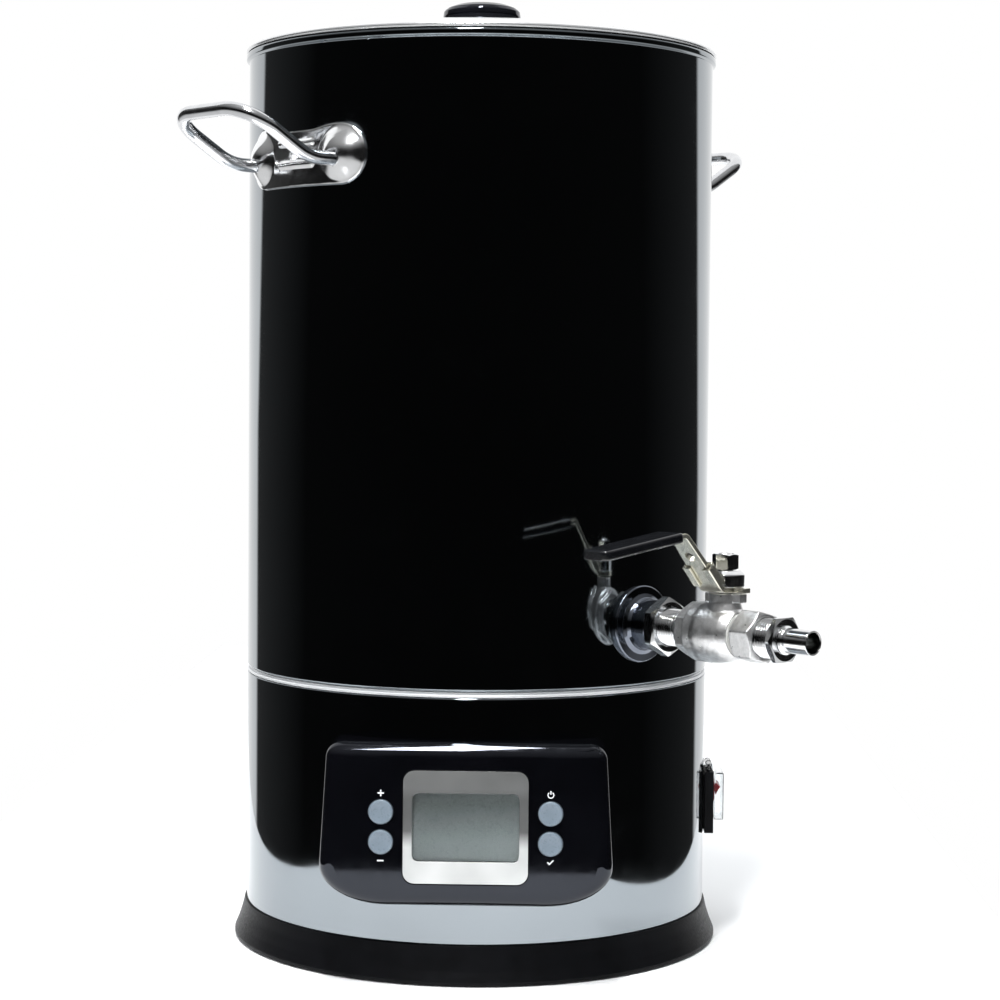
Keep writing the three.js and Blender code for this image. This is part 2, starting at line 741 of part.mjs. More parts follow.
// ---------------------------------------------------------------- drain valve
// In its group +X runs outwards along the pipe, s is the distance from the kettle's axis.

const NIPPLE_R = 10.45; // outside of the threaded bulkhead nipple
const STEM_S = 204; // the valve stem's distance from the kettle's axis
const STEM_R = 4;
const BALL_R = 10.8;
const PIPE_BORE = 7.5;
const PACKED_R = 12.3; // bore of the cap and the body around the ball and its seats
const JOINT_S = 197.6; // where the end cap meets the valve body
const LEVER_Z = 24.5; // middle of the lever's flat part above the pipe
const BONNET_TOP = 22.6; // top of the body's bonnet above the pipe
const SPOUT = { radius: 6.8, bore: 5.9, tip: 267.6 };

const pipe = (profile, sides) => alongX(turned(profile, sides));
const pipeNut = (acrossFlats, bore, from, to) => alongX(hexNut(acrossFlats, bore, from, to));
const upright = (radius, low, high, sides) => disc(radius, low, high, sides).translate(STEM_S, 0, 0);

function bulkheadFlange() {
  const bore = NIPPLE_R + FIT;
  const body = pipe([
    [bore, 136],
    [22, 136],
    [22, 141.2],
    [21.2, 142],
    [17.4, 142.4],
    [15.2, 143.6],
    [14.2, 145.4],
    [14.2, 155],
    [13.6, 155.6],
    [bore, 155.6],
    [bore, 136],
  ], 28);
  return cut(body, wallTool());
}

function bulkheadGasket() {
  const body = pipe([[11, 134.6], [15.5, 134.6], [15.5, 142], [11, 142], [11, 134.6]], 24);
  return common(body, disc(KETTLE_R - SHEET - 0.7, -40, 40, 2 * ROUND));
}

function bulkheadNipple() {
  return pipe([[7.9, 125], [NIPPLE_R, 125], [NIPPLE_R, 184], [7.9, 184], [7.9, 125]], 24);
}

function valveEndCap() {
  const outer = pipe([
    [0, 185.4],
    [15.4, 185.4],
    [17, 187.4],
    [17, 196.2],
    [16, JOINT_S - GAP],
    [13.5, JOINT_S - GAP],
    [13.5, JOINT_S + 2],
    [0, JOINT_S + 2],
  ], 28);
  const bore = pipe([
    [0, 170],
    [NIPPLE_R + FIT, 170],
    [NIPPLE_R + FIT, 184.3],
    [PIPE_BORE, 184.3],
    [PIPE_BORE, 191.2],
    [PACKED_R, 191.2],
    [PACKED_R, 205],
    [0, 205],
  ], 24);
  return cut(fuse(alongX(hexBar(28, 178.6, 186.4)), outer), bore);
}

function valveBody() {
  const round = pipe([
    [0, JOINT_S],
    [16, JOINT_S],
    [17, JOINT_S + 1.2],
    [17, 204],
    [16.4, 211],
    [15.2, 218],
    [13, 223],
    [0, 223],
  ], 28);
  const outlet = alongX(hexBar(26.4, 219, 234));
  const bonnet = upright(8.8, 8, BONNET_TOP, 20);
  const stops = [-1, 1].map((side) => (
    block([-3, 3], [-3, 3], [16.5, BONNET_TOP]).translate(STEM_S + side * 10.8, 0, 0)));
  const bore = pipe([
    [0, 190],
    [13.9, 190],
    [13.9, JOINT_S + 2.2],
    [PACKED_R, JOINT_S + 2.2],
    [PACKED_R, 216.7],
    [PIPE_BORE, 216.7],
    [PIPE_BORE, 224],
    [11.1, 224],
    [11.1, 240],
    [0, 240],
  ], 24);
  const capRoom = block([190, JOINT_S], [-20, 20], [0, 17.4]);
  return cut(fuse(round, outlet, bonnet, ...stops), bore, capRoom, upright(STEM_R + FIT, 5, 30, 16));
}

function valveBall() {
  const sphere = new THREE.SphereGeometry(BALL_R, 20, 10).rotateX(Math.PI / 2).translate(STEM_S, 0, 0);
  const bore = acrossY(disc(6.5, -20, 20, 20)).translate(STEM_S, 0, 0);
  const slot = block([STEM_S - 3.8, STEM_S + 3.8], [-1.8, 1.8], [8.2, 14]);
  return cut(sphere, bore, slot);
}

function ballSeat(from, to) {
  const body = pipe([[6.8, from], [11.9, from], [11.9, to], [6.8, to], [6.8, from]], 24);
  const ball = new THREE.SphereGeometry(BALL_R + GAP, 20, 10).rotateX(Math.PI / 2);
  return cut(body, ball.translate(STEM_S, 0, 0));
}

function valveStem() {
  const blade = block([STEM_S - 3.5, STEM_S + 3.5], [-1.5, 1.5], [8.5, 12]);
  return fuse(common(blade, upright(3.8, 0, 20, 16)), upright(STEM_R, 11.5, 44.4, 16));
}

// The lever's strip runs from the stem towards -Y: flat, up a slope, then nearly level into the grip.
const LEVER = {
  line: [[-11, LEVER_Z], [9.7, LEVER_Z], [37.7, 55.7], [100.6, 47.55]],
  rootWidth: 17,
  width: 12.5,
  sheet: 2.8,
};
const GRIP = { from: 6, to: 65.4, width: 19, thickness: 5.6 };
const SLIDE = { from: 5, to: 18.5, wall: 1.5, lip: 4 };
const PADLOCK = { at: 27, r: 3.2 }; // hole in the lever's slope

// Puts a shape drawn with x = distance from the stem and y = height into the valve's frame.
function leverExtrusion(shape, width) {
  const basis = new THREE.Matrix4().makeBasis(
    new THREE.Vector3(0, -1, 0), new THREE.Vector3(0, 0, 1), new THREE.Vector3(-1, 0, 0));
  return extruded(shape, width).applyMatrix4(basis).translate(STEM_S + width / 2, 0, 0);
}

// A point at a distance along one straight stretch of the lever's line, and out to its upper side.
function alongLever(stretch, distance, out = 0) {
  const [from, to] = LEVER.line.slice(stretch, stretch + 2).map((point) => new THREE.Vector2(...point));
  const along = to.sub(from).normalize();
  const normal = new THREE.Vector2(-along.y, along.x);
  return from.addScaledVector(along, distance).addScaledVector(normal, out);
}

// A straight bar of a width and thickness between two distances along one stretch of the lever.
function leverBar(stretch, from, to, width, thickness, out = 0) {
  const ends = [alongLever(stretch, from, out), alongLever(stretch, to, out)];
  return leverExtrusion(stripShape(ends.map((point) => point.toArray()), thickness), width);
}

// The lever's outline from above: wide round the stem, narrowing up its slope to the grip.
function leverPlan() {
  const { line, width, rootWidth } = LEVER;
  const side = [[rootWidth, line[0][0]], [rootWidth, line[1][0]], [width, line[2][0]], [width, line[3][0]]];
  const edge = (sign) => side.map(([across, along]) => new THREE.Vector2(sign * across / 2, -along));
  return extruded(new THREE.Shape([...edge(1), ...edge(-1).reverse()]), 80).translate(STEM_S, 0, 0);
}

function leverStrip() {
  const { line, rootWidth, sheet } = LEVER;
  const slope = Math.atan2(line[2][1] - line[1][1], line[2][0] - line[1][0]);
  const eye = alongLever(1, PADLOCK.at);
  const hole = disc(PADLOCK.r, -4, 4, 16).rotateX(-slope).translate(STEM_S, -eye.x, eye.y);
  return cut(
    fuse(
      common(leverExtrusion(stripShape(line, sheet), rootWidth), leverPlan()),
      block([STEM_S + 7, STEM_S + 16], [-3, 3], [LEVER_Z - sheet / 2, LEVER_Z + sheet / 2])),
    upright(STEM_R + FIT, 20, 30, 16),
    hole);
}

function leverGrip() {
  return cut(
    leverBar(2, GRIP.from, GRIP.to, GRIP.width, GRIP.thickness),
    leverBar(2, -5, GRIP.to - 1.6, LEVER.width + 2 * GAP, LEVER.sheet + 2 * GAP));
}

// A channel of bent sheet that wraps the lever's slope; its lips leave the middle open underneath.
function lockSlide() {
  const { from, to, wall, lip } = SLIDE;
  const { rootWidth, sheet } = LEVER;
  const [ahead, beyond] = [from - 6, to + 6];
  return cut(
    leverBar(1, from, to, rootWidth + 2 * wall, sheet + 2 * wall),
    leverBar(1, ahead, beyond, rootWidth + 2 * GAP, sheet + 2 * GAP),
    leverBar(1, ahead, beyond, rootWidth - 2 * lip, sheet + 2 * GAP, -3));
}

// The gland collar has a flat that clears the lever's slope.
function stemCollar() {
  const collar = ring(STEM_R + FIT, 11, LEVER_Z + LEVER.sheet / 2 + 0.1, 35, 28);
  return cut(collar.translate(STEM_S, 0, 0), block([STEM_S - 12, STEM_S + 12], [-12, -8.5], [20, 40]));
}

function outletNipple() {
  const bore = SPOUT.radius + FIT;
  return pipe([[bore, 224.3], [10.8, 224.3], [10.8, 243.8], [bore, 243.8], [bore, 224.3]], 24);
}

function spoutTube() {
  const { radius, bore, tip } = SPOUT;
  return pipe([
    [bore, 228],
    [radius, 228],
    [radius, 248.9],
    [8.3, 248.9],
    [radius, 250.6],
    [radius, tip],
    [bore, tip],
    [bore, 228],
  ], 24);
}

function buildValve() {
  const valve = radialGroup(VALVE_AZIMUTH, VALVE_Z);
  const pieces = [
    ['bulkhead_flange', bulkheadFlange(), polishedSteel],
    ['bulkhead_gasket', bulkheadGasket(), silicone],
    ['bulkhead_nipple', bulkheadNipple(), castSteel],
    ['outer_nut', pipeNut(29.6, NIPPLE_R + FIT, 155.9, 163.2), polishedSteel],
    ['inner_nut', pipeNut(27, NIPPLE_R + FIT, 127.4, 134.3), polishedSteel],
    ['valve_end_cap', valveEndCap(), castSteel],
    ['valve_body', valveBody(), castSteel],
    ['valve_ball', valveBall(), polishedSteel],
    ['ball_seat_inner', ballSeat(191.5, 196.3), teflon],
    ['ball_seat_outer', ballSeat(211.6, 216.4), teflon],
    ['valve_stem', valveStem(), castSteel],
    ['lever', leverStrip(), zincSteel],
    ['lever_grip', leverGrip(), vinyl],
    ['lock_slide', lockSlide(), zincSteel],
    ['stem_collar', stemCollar(), castSteel],
    ['stem_nut', hexNut(13, STEM_R + FIT, 35.4, 44).translate(STEM_S, 0, 0), polishedSteel],
    ['outlet_nipple', outletNipple(), polishedSteel],
    ['outlet_nut', pipeNut(24, SPOUT.radius + FIT, 244.1, 248.6), polishedSteel],
    ['spout', spoutTube(), polishedSteel],
  ];
  for (const [name, geometry, material] of pieces) {
    add(name, geometry, material, valve);
  }
}

buildKettle();
buildHandles();
buildBase();
buildHeater();
buildPanel();
buildSwitchAndInlet();
buildValve();

export default brewer;
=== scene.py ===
"""Looks of the electric all-in-one brewer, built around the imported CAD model.

Shapes are worked out in millimetres, in the CAD's own frame or in a place on it, and turned into
metres when their mesh is made. +Z is up, the control panel faces -Y, the mains switch faces +X.
"""
import json
import math

import bmesh
import bpy
import numpy as np
from mathutils import Matrix, Vector


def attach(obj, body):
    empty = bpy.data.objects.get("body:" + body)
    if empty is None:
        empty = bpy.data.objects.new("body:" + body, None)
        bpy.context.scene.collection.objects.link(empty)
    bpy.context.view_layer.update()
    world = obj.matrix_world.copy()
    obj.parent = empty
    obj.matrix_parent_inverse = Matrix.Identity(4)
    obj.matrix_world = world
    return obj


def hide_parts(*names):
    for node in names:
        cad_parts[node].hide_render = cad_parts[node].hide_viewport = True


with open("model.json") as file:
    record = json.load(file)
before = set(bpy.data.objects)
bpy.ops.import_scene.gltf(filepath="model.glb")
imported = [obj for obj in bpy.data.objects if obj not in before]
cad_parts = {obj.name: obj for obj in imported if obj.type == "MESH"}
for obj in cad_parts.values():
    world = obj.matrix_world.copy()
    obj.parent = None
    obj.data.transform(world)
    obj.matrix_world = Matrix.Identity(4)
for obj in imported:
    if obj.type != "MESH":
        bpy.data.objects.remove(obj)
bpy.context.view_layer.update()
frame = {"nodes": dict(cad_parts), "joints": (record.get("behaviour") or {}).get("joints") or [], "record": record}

MM = 0.001
IDENTITY = Matrix.Identity(4)
ALONG_X = Matrix.Rotation(math.pi / 2, 4, "Y")
TO_FRONT = Matrix.Rotation(math.pi / 2, 4, "X")

JOINTS = {joint["name"]: joint for joint in frame["joints"]}


# ---- places on the CAD model


def radial_place(azimuth, height):
    """A frame on the kettle's axis whose +X points out at an azimuth, in degrees from the front."""
    return Matrix.Translation((0, 0, height)) @ Matrix.Rotation(math.radians(azimuth - 90), 4, "Z")


def local_box(node, place=IDENTITY):
    """Lowest and highest corner of a CAD node in a place's own frame, in millimetres."""
    inverse = place.inverted()
    corners = np.array([inverse @ (vertex.co / MM) for vertex in frame["nodes"][node].data.vertices])
    return Vector(corners.min(0)), Vector(corners.max(0))


def azimuth_of(point):
    return math.degrees(math.atan2(point[0], -point[1]))


RIM_LOW, RIM_HIGH = local_box("kettle_shell")
KETTLE_R = local_box("base_skirt")[1].x
RIM_R = RIM_HIGH.x
RIM_Z = RIM_HIGH.z
SHELL_UNDER = RIM_LOW.z
SHEET = 1.2
FLOOR_Z = local_box("rubber_foot_1")[0].z

STEM = Vector(JOINTS["valve_turn"]["pos_m"]) / MM
STEM_S = math.hypot(STEM.x, STEM.y)
VALVE_LOW, VALVE_HIGH = local_box("spout", radial_place(azimuth_of(STEM), 0))
VALVE = radial_place(azimuth_of(STEM), (VALVE_LOW.z + VALVE_HIGH.z) / 2)


# ---- mesh making


def make(name, vertices, faces, place=IDENTITY, sharp=32, slots=(), face_slots=None):
    """A smooth-shaded object from vertices in millimetres; edges sharper than an angle stay sharp."""
    matrix = np.array(place)
    points = np.asarray(vertices, float) @ matrix[:3, :3].T + matrix[:3, 3]
    mesh = bpy.data.meshes.new(name)
    mesh.from_pydata((points * MM).tolist(), [], [list(face) for face in faces])
    if face_slots is not None:
        mesh.polygons.foreach_set("material_index", face_slots)
    piece = bpy.data.objects.new(name, mesh)
    bpy.context.scene.collection.objects.link(piece)
    for slot in slots:
        mesh.materials.append(slot)
    tidy(piece, sharp)
    return piece


def tidy(piece, sharp=32):
    """Merges doubles, faces the mesh outwards and sets its smooth shading."""
    mesh = piece.data
    work = bmesh.new()
    work.from_mesh(mesh)
    bmesh.ops.remove_doubles(work, verts=work.verts, dist=2e-6)
    bmesh.ops.dissolve_degenerate(work, edges=work.edges, dist=1e-6)
    bmesh.ops.recalc_face_normals(work, faces=work.faces)
    work.to_mesh(mesh)
    work.free()
    mesh.shade_smooth()
    mesh.set_sharp_from_angle(angle=math.radians(sharp))


def apply_modifiers(piece, sharp=32):
    evaluated = piece.evaluated_get(bpy.context.evaluated_depsgraph_get())
    mesh = bpy.data.meshes.new_from_object(evaluated)
    piece.modifiers.clear()
    piece.data = mesh
    tidy(piece, sharp)
    return piece


def boolean(piece, others, operation):
    for other in others:
        modifier = piece.modifiers.new(operation.lower(), "BOOLEAN")
        modifier.operation = operation
        modifier.solver = "EXACT"
        modifier.object = other
    bpy.context.view_layer.update()
    apply_modifiers(piece)
    for other in others:
        bpy.data.objects.remove(other)
    return piece


def carve(piece, *cutters):
    return boolean(piece, cutters, "DIFFERENCE")


def unite(piece, *others):
    return boolean(piece, others, "UNION")


def bevelled(piece, width, segments=2, angle=40):
    bevel = piece.modifiers.new("bevel", "BEVEL")
    bevel.width = width * MM
    bevel.segments = segments
    bevel.limit_method = "ANGLE"
    bevel.angle_limit = math.radians(angle)


def soften(piece, width, segments=2, angle=30):
    """Rounds the edges of a piece with a real bevel of a width in millimetres."""
    bevelled(piece, width, segments, angle)
    bpy.context.view_layer.update()
    return apply_modifiers(piece, 40)


def even_normals(piece):
    """Lets large flat faces keep their own shading next to small rounded ones."""
    piece.modifiers.new("normals", "WEIGHTED_NORMAL").keep_sharp = True


def cast(piece):
    """Blends a union of shapes into one casting with soft fillets."""
    remesh = piece.modifiers.new("remesh", "REMESH")
    remesh.mode = "VOXEL"
    remesh.voxel_size = 0.42 * MM
    smooth = piece.modifiers.new("smooth", "SMOOTH")
    smooth.factor = 0.5
    smooth.iterations = 2
    bpy.context.view_layer.update()
    return apply_modifiers(piece, 60)


CORNER_STEP, BEND_STEP = 15, 5  # degrees between the points of a rounded corner and of a bend


def rounded(points, closed=False):
    """A 2D outline with its corners rounded: each point is (u, v) or (u, v, radius)."""
    outline = []
    count = len(points)
    for i, point in enumerate(points):
        corner = Vector(point[:2])
        radius = point[2] if len(point) > 2 else 0
        if radius <= 0 or (not closed and i in (0, count - 1)):
            outline.append(tuple(corner))
            continue
        before = Vector(points[i - 1][:2]) - corner
        after = Vector(points[(i + 1) % count][:2]) - corner
        angle = before.angle(after)
        reach = min(radius / math.tan(angle / 2), 0.49 * before.length, 0.49 * after.length)
        start, end = corner + before.normalized() * reach, corner + after.normalized() * reach
        steps = max(2, round(math.degrees(math.pi - angle) / CORNER_STEP))
        true_radius = reach * math.tan(angle / 2)
        centre = corner + (before.normalized() + after.normalized()).normalized() * (
            true_radius / math.sin(angle / 2))
        first, last = start - centre, end - centre
        sweep = first.angle_signed(last)
        for step in range(steps + 1):
            turn = -sweep * step / steps
            outline.append((
                centre.x + first.x * math.cos(turn) - first.y * math.sin(turn),
                centre.y + first.x * math.sin(turn) + first.y * math.cos(turn)))
    return outline


def turned(name, profile, place=IDENTITY, sides=96, closed=False, slots=(), slot_of=None):
    """Turns a profile of (radius, height, fillet) about the place's Z axis."""
    outline = rounded(profile, closed)
    vertices, rings = [], []
    for radius, height in outline:
        start = len(vertices)
        if radius < 1e-6:
            vertices.append((0, 0, height))
            rings.append([start] * sides)
        else:
            vertices.extend(circle(radius, height, sides))
            rings.append(list(range(start, start + sides)))
    pairs = list(zip(rings, rings[1:]))
    if closed:
        pairs.append((rings[-1], rings[0]))
    faces, face_slots = [], []
    for number, (low, high) in enumerate(pairs):
        middle = [(a + b) / 2 for a, b in zip(outline[number], outline[(number + 1) % len(outline)])]
        slot = slot_of(*middle) if slot_of else 0
        for i in range(sides):
            j = (i + 1) % sides
            face = list(dict.fromkeys([low[i], low[j], high[j], high[i]]))
            if len(face) > 2:
                faces.append(face)
                face_slots.append(slot)
    return make(name, vertices, faces, place, 32, slots, face_slots if slot_of else None)


def loft(name, loops, place=IDENTITY, sharp=32, ring=False):
    """Skins equal loops of points; both ends are capped unless the loops close into a ring."""
    count = len(loops[0])
    vertices = [point for loop in loops for point in loop]
    faces = []
    last = len(loops) if ring else len(loops) - 1
    for k in range(last):
        a, b = k * count, ((k + 1) % len(loops)) * count
        faces.extend([a + i, a + (i + 1) % count, b + (i + 1) % count, b + i] for i in range(count))
    if not ring:
        faces.append(list(range(count)))
        faces.append(list(range((len(loops) - 1) * count, len(loops) * count)))
    return make(name, vertices, faces, place, sharp)


def prism(name, outline, low, high, place=IDENTITY):
    """A 2D outline extruded along the place's Z axis."""
    return loft(name, [[(x, y, z) for x, y in outline] for z in (low, high)], place)


def rounded_rect(width, height, radius, centre=(0, 0)):
    (x, y), w, h = centre, width / 2, height / 2
    corners = ((x - w, y - h), (x + w, y - h), (x + w, y + h), (x - w, y + h))
    return rounded([(*corner, radius) for corner in corners], True)


def block(name, low, high, place=IDENTITY):
    (x0, y0, z0), (x1, y1, z1) = low, high
    return prism(name, [(x0, y0), (x1, y0), (x1, y1), (x0, y1)], z0, z1, place)


def rod(name, radius, low, high, place, sides=40):
    """A plain round bar about the place's Z axis, which mostly serves to cut a hole."""
    return turned(name, [(0, low), (radius, low), (radius, high), (0, high)], place, sides=sides)


def circle(radius, height, sides):
    """Evenly spaced points round the Z axis."""
    angles = np.linspace(0, 2 * math.pi, sides, endpoint=False)
    return [(radius * math.cos(a), radius * math.sin(a), height) for a in angles]


def nut_radius(angle, across_flats):
    """Distance from the middle of a hexagon to its edge, with its corners slightly worn off."""
    from_flat = (angle % (math.pi / 3)) - math.pi / 6
    return min(across_flats / 2 / math.cos(from_flat), across_flats * 0.571)


def hex_nut(name, across_flats, bore, low, high, place=IDENTITY):
    """A chamfered hexagon nut or bar about the place's Z axis, closed if its bore is 0."""
    sides = 96
    edge = across_flats * 0.475
    slope = math.tan(math.radians(28))

    def hexagon(z, direction):
        loop = []
        for i in range(sides):
            angle = 2 * math.pi * i / sides
            radius = nut_radius(angle, across_flats)
            drop = direction * max(radius - edge, 0) * slope
            loop.append((radius * math.cos(angle), radius * math.sin(angle), z + drop))
        return loop

    loops = [circle(edge, low, sides), hexagon(low, 1), hexagon(high, -1), circle(edge, high, sides)]
    if bore:
        lead = 0.6
        inside = ((bore + lead, high), (bore, high - lead), (bore, low + lead), (bore + lead, low))
        loops += [circle(radius, z, sides) for radius, z in inside]
    return loft(name, loops, place, 24, ring=bool(bore))


THREAD_PITCH, THREAD_DEPTH = 1.81, 0.95


def threaded_tube(name, radius, bore, low, high, place=IDENTITY):
    """A tube with a real helical thread between two heights and a chamfer at both ends."""
    sides = 72
    rows = int((high - low) / THREAD_PITCH * 8)
    loops = [circle(bore, low, sides)]
    for row in range(rows + 1):
        z = low + (high - low) * row / rows
        limit = radius - max(0.0, THREAD_DEPTH - min(z - low, high - z))
        loop = []
        for i in range(sides):
            angle = 2 * math.pi * i / sides
            phase = (z / THREAD_PITCH - i / sides) % 1
            groove = THREAD_DEPTH * min(1.0, max(0.0, 1.25 * abs(2 * phase - 1) - 0.12))
            reach = min(radius - groove, limit)
            loop.append((reach * math.cos(angle), reach * math.sin(angle), z))
        loops.append(loop)
    loops.append(circle(bore, high, sides))
    return loft(name, loops, place, 22, ring=True)


def filleted_path(points):
    """Points along a 3D line of (x, y, z, bend radius), with round bends."""
    path = [Vector(points[0][:3])]
    for before, here, after in zip(points, points[1:], points[2:]):
        corner, radius = Vector(here[:3]), here[3]
        back, ahead = Vector(before[:3]) - corner, Vector(after[:3]) - corner
        angle = back.angle(ahead)
        reach = min(radius / math.tan(angle / 2), 0.5 * back.length, 0.5 * ahead.length)
        start, end = corner + back.normalized() * reach, corner + ahead.normalized() * reach
        centre = corner + (back.normalized() + ahead.normalized()).normalized() * (
            reach * math.tan(angle / 2) / math.sin(angle / 2))
        steps = max(4, round(math.degrees(math.pi - angle) / BEND_STEP))
        first, last = (start - centre).normalized(), (end - centre).normalized()
        distance = (start - centre).length
        path.extend(centre + first.slerp(last, k / steps) * distance for k in range(steps + 1))
    path.append(Vector(points[-1][:3]))
    return path


def swept(name, path, radius, place, sides):
    """A round bar along a list of points, with a small chamfer at each end."""
    edge = 0.6
    legs = [(b - a).normalized() for a, b in zip(path, path[1:])]
    tangents = [legs[0], *[(a + b).normalized() for a, b in zip(legs, legs[1:])], legs[-1]]
    side = tangents[0].orthogonal().normalized()
    loops = []
    for point, tangent in zip(path, tangents):
        side = (side - tangent * side.dot(tangent)).normalized()
        up = tangent.cross(side)
        loops.append([tuple(point + x * side + y * up) for x, y, _ in circle(radius, 0, sides)])
    caps = []
    for end, inwards in ((0, tangents[0]), (-1, -tangents[-1])):
        middle = path[end]
        caps.append([tuple(middle + (Vector(p) - middle) * (1 - edge / radius)) for p in loops[end]])
        loops[end] = [tuple(Vector(p) + inwards * edge) for p in loops[end]]
    return loft(name, [caps[0], *loops, caps[1]], place, 40)


# ---- materials


class Nodes:
    """Adds nodes to the tree of a material or a world and joins them."""

    def __init__(self, owner):
        owner.use_nodes = True
        self.tree = owner.node_tree

    def feed(self, socket, value):
        """Gives a socket a value of its own, or the value of another node's output."""
        if isinstance(value, bpy.types.NodeSocket):
            self.tree.links.new(value, socket)
        else:
            socket.default_value = value

    def node(self, kind, inputs=(), **settings):
        made = self.tree.nodes.new("ShaderNode" + kind)
        for key, value in settings.items():
            setattr(made, key, value)
        for socket, value in dict(inputs).items():
            self.feed(made.inputs[socket], value)
        return made

    def ramp(self, value, stops):
        """The colour that stops of (position, colour) give for a value from 0 to 1."""
        made = self.node("ValToRGB", {"Fac": value})
        elements = made.color_ramp.elements
        while len(elements) < len(stops):
            elements.new(0.5)
        for element, (position, color) in zip(elements, stops):
            element.position = position
            element.color = (*color, 1)
        return made.outputs["Color"]

    def mix(self, factor, a, b, blend="MIX"):
        inputs = {"Factor": factor, "A": a, "B": b}
        return self.node("Mix", inputs, data_type="RGBA", blend_type=blend).outputs["Result"]


class Shade(Nodes):
    """A procedural material: a Principled shader driven by noise in the object's space."""

    def __init__(self, name, color, metallic, roughness, **inputs):
        self.material = bpy.data.materials.new(name)
        super().__init__(self.material)
        self.color = color
        self.tone = self.normal = None
        self.set(Base_Color=(*color, 1), Metallic=metallic, Roughness=roughness, **inputs)

    def set(self, **inputs):
        shader = self.tree.nodes["Principled BSDF"]
        for socket, value in inputs.items():
            self.feed(shader.inputs[socket.replace("_", " ")], value)

    def place(self):
        return self.node("TexCoord").outputs["Object"]

    def noise(self, scale, detail, stretch=(1, 1, 1), rough=0.5):
        """Noise with its scale per metre in the object's own space, stretched along its axes."""
        mapping = self.node("Mapping", {"Vector": self.place(), "Scale": stretch})
        vector = mapping.outputs["Vector"]
        inputs = {"Vector": vector, "Scale": scale, "Detail": detail, "Roughness": rough}
        return self.node("TexNoise", inputs).outputs["Fac"]

    def along(self, axis, start, end):
        """Goes from 0 to 1 between two places along one axis of the object, in metres."""
        split = self.node("SeparateXYZ", {"Vector": self.place()})
        return self.spread(split.outputs[axis], 0, 1, start, end)

    def spread(self, value, low, high, start=0.3, end=0.7):
        """Maps a value onto a range."""
        return self.node("MapRange", {
            "Value": value, "From Min": start, "From Max": end, "To Min": low, "To Max": high,
        }).outputs["Result"]

    def tint(self, value, darker, lighter):
        """Lets a value move the base colour between two shades of it. Further calls multiply."""
        base = (1, 1, 1) if self.tone else self.color
        shades = [[min(1.0, channel * factor) for channel in base] for factor in (darker, lighter)]
        tone = self.ramp(value, list(zip((0.3, 0.7), shades)))
        self.tone = self.mix(1.0, self.tone, tone, "MULTIPLY") if self.tone else tone
        self.set(Base_Color=self.tone)

    def bump(self, value, height, strength=1.0):
        """Raises the surface by a height in millimetres where the noise is high."""
        inputs = {"Height": value, "Distance": height * MM, "Strength": strength}
        if self.normal:
            inputs["Normal"] = self.normal
        self.normal = self.node("Bump", inputs).outputs["Normal"]
        self.set(Normal=self.normal)


def surface(name, color, metallic, roughness, tints, rough=None, bumps=(), **inputs):
    """A material whose shine, colour and relief follow noises.

    A noise is the arguments of Shade.noise, or of Shade.along where it starts with an axis. Tints
    are (noise, darker, lighter), rough is (noise, low, high), bumps are (noise, mm[, strength]).
    """
    shade = Shade(name, color, metallic, roughness, **inputs)
    for noise, darker, lighter in tints:
        source = shade.along if isinstance(noise[0], str) else shade.noise
        shade.tint(source(*noise), darker, lighter)
    if rough:
        shade.set(Roughness=shade.spread(shade.noise(*rough[0]), *rough[1:]))
    for noise, *rise in bumps:
        shade.bump(shade.noise(*noise), *rise)
    return shade.material


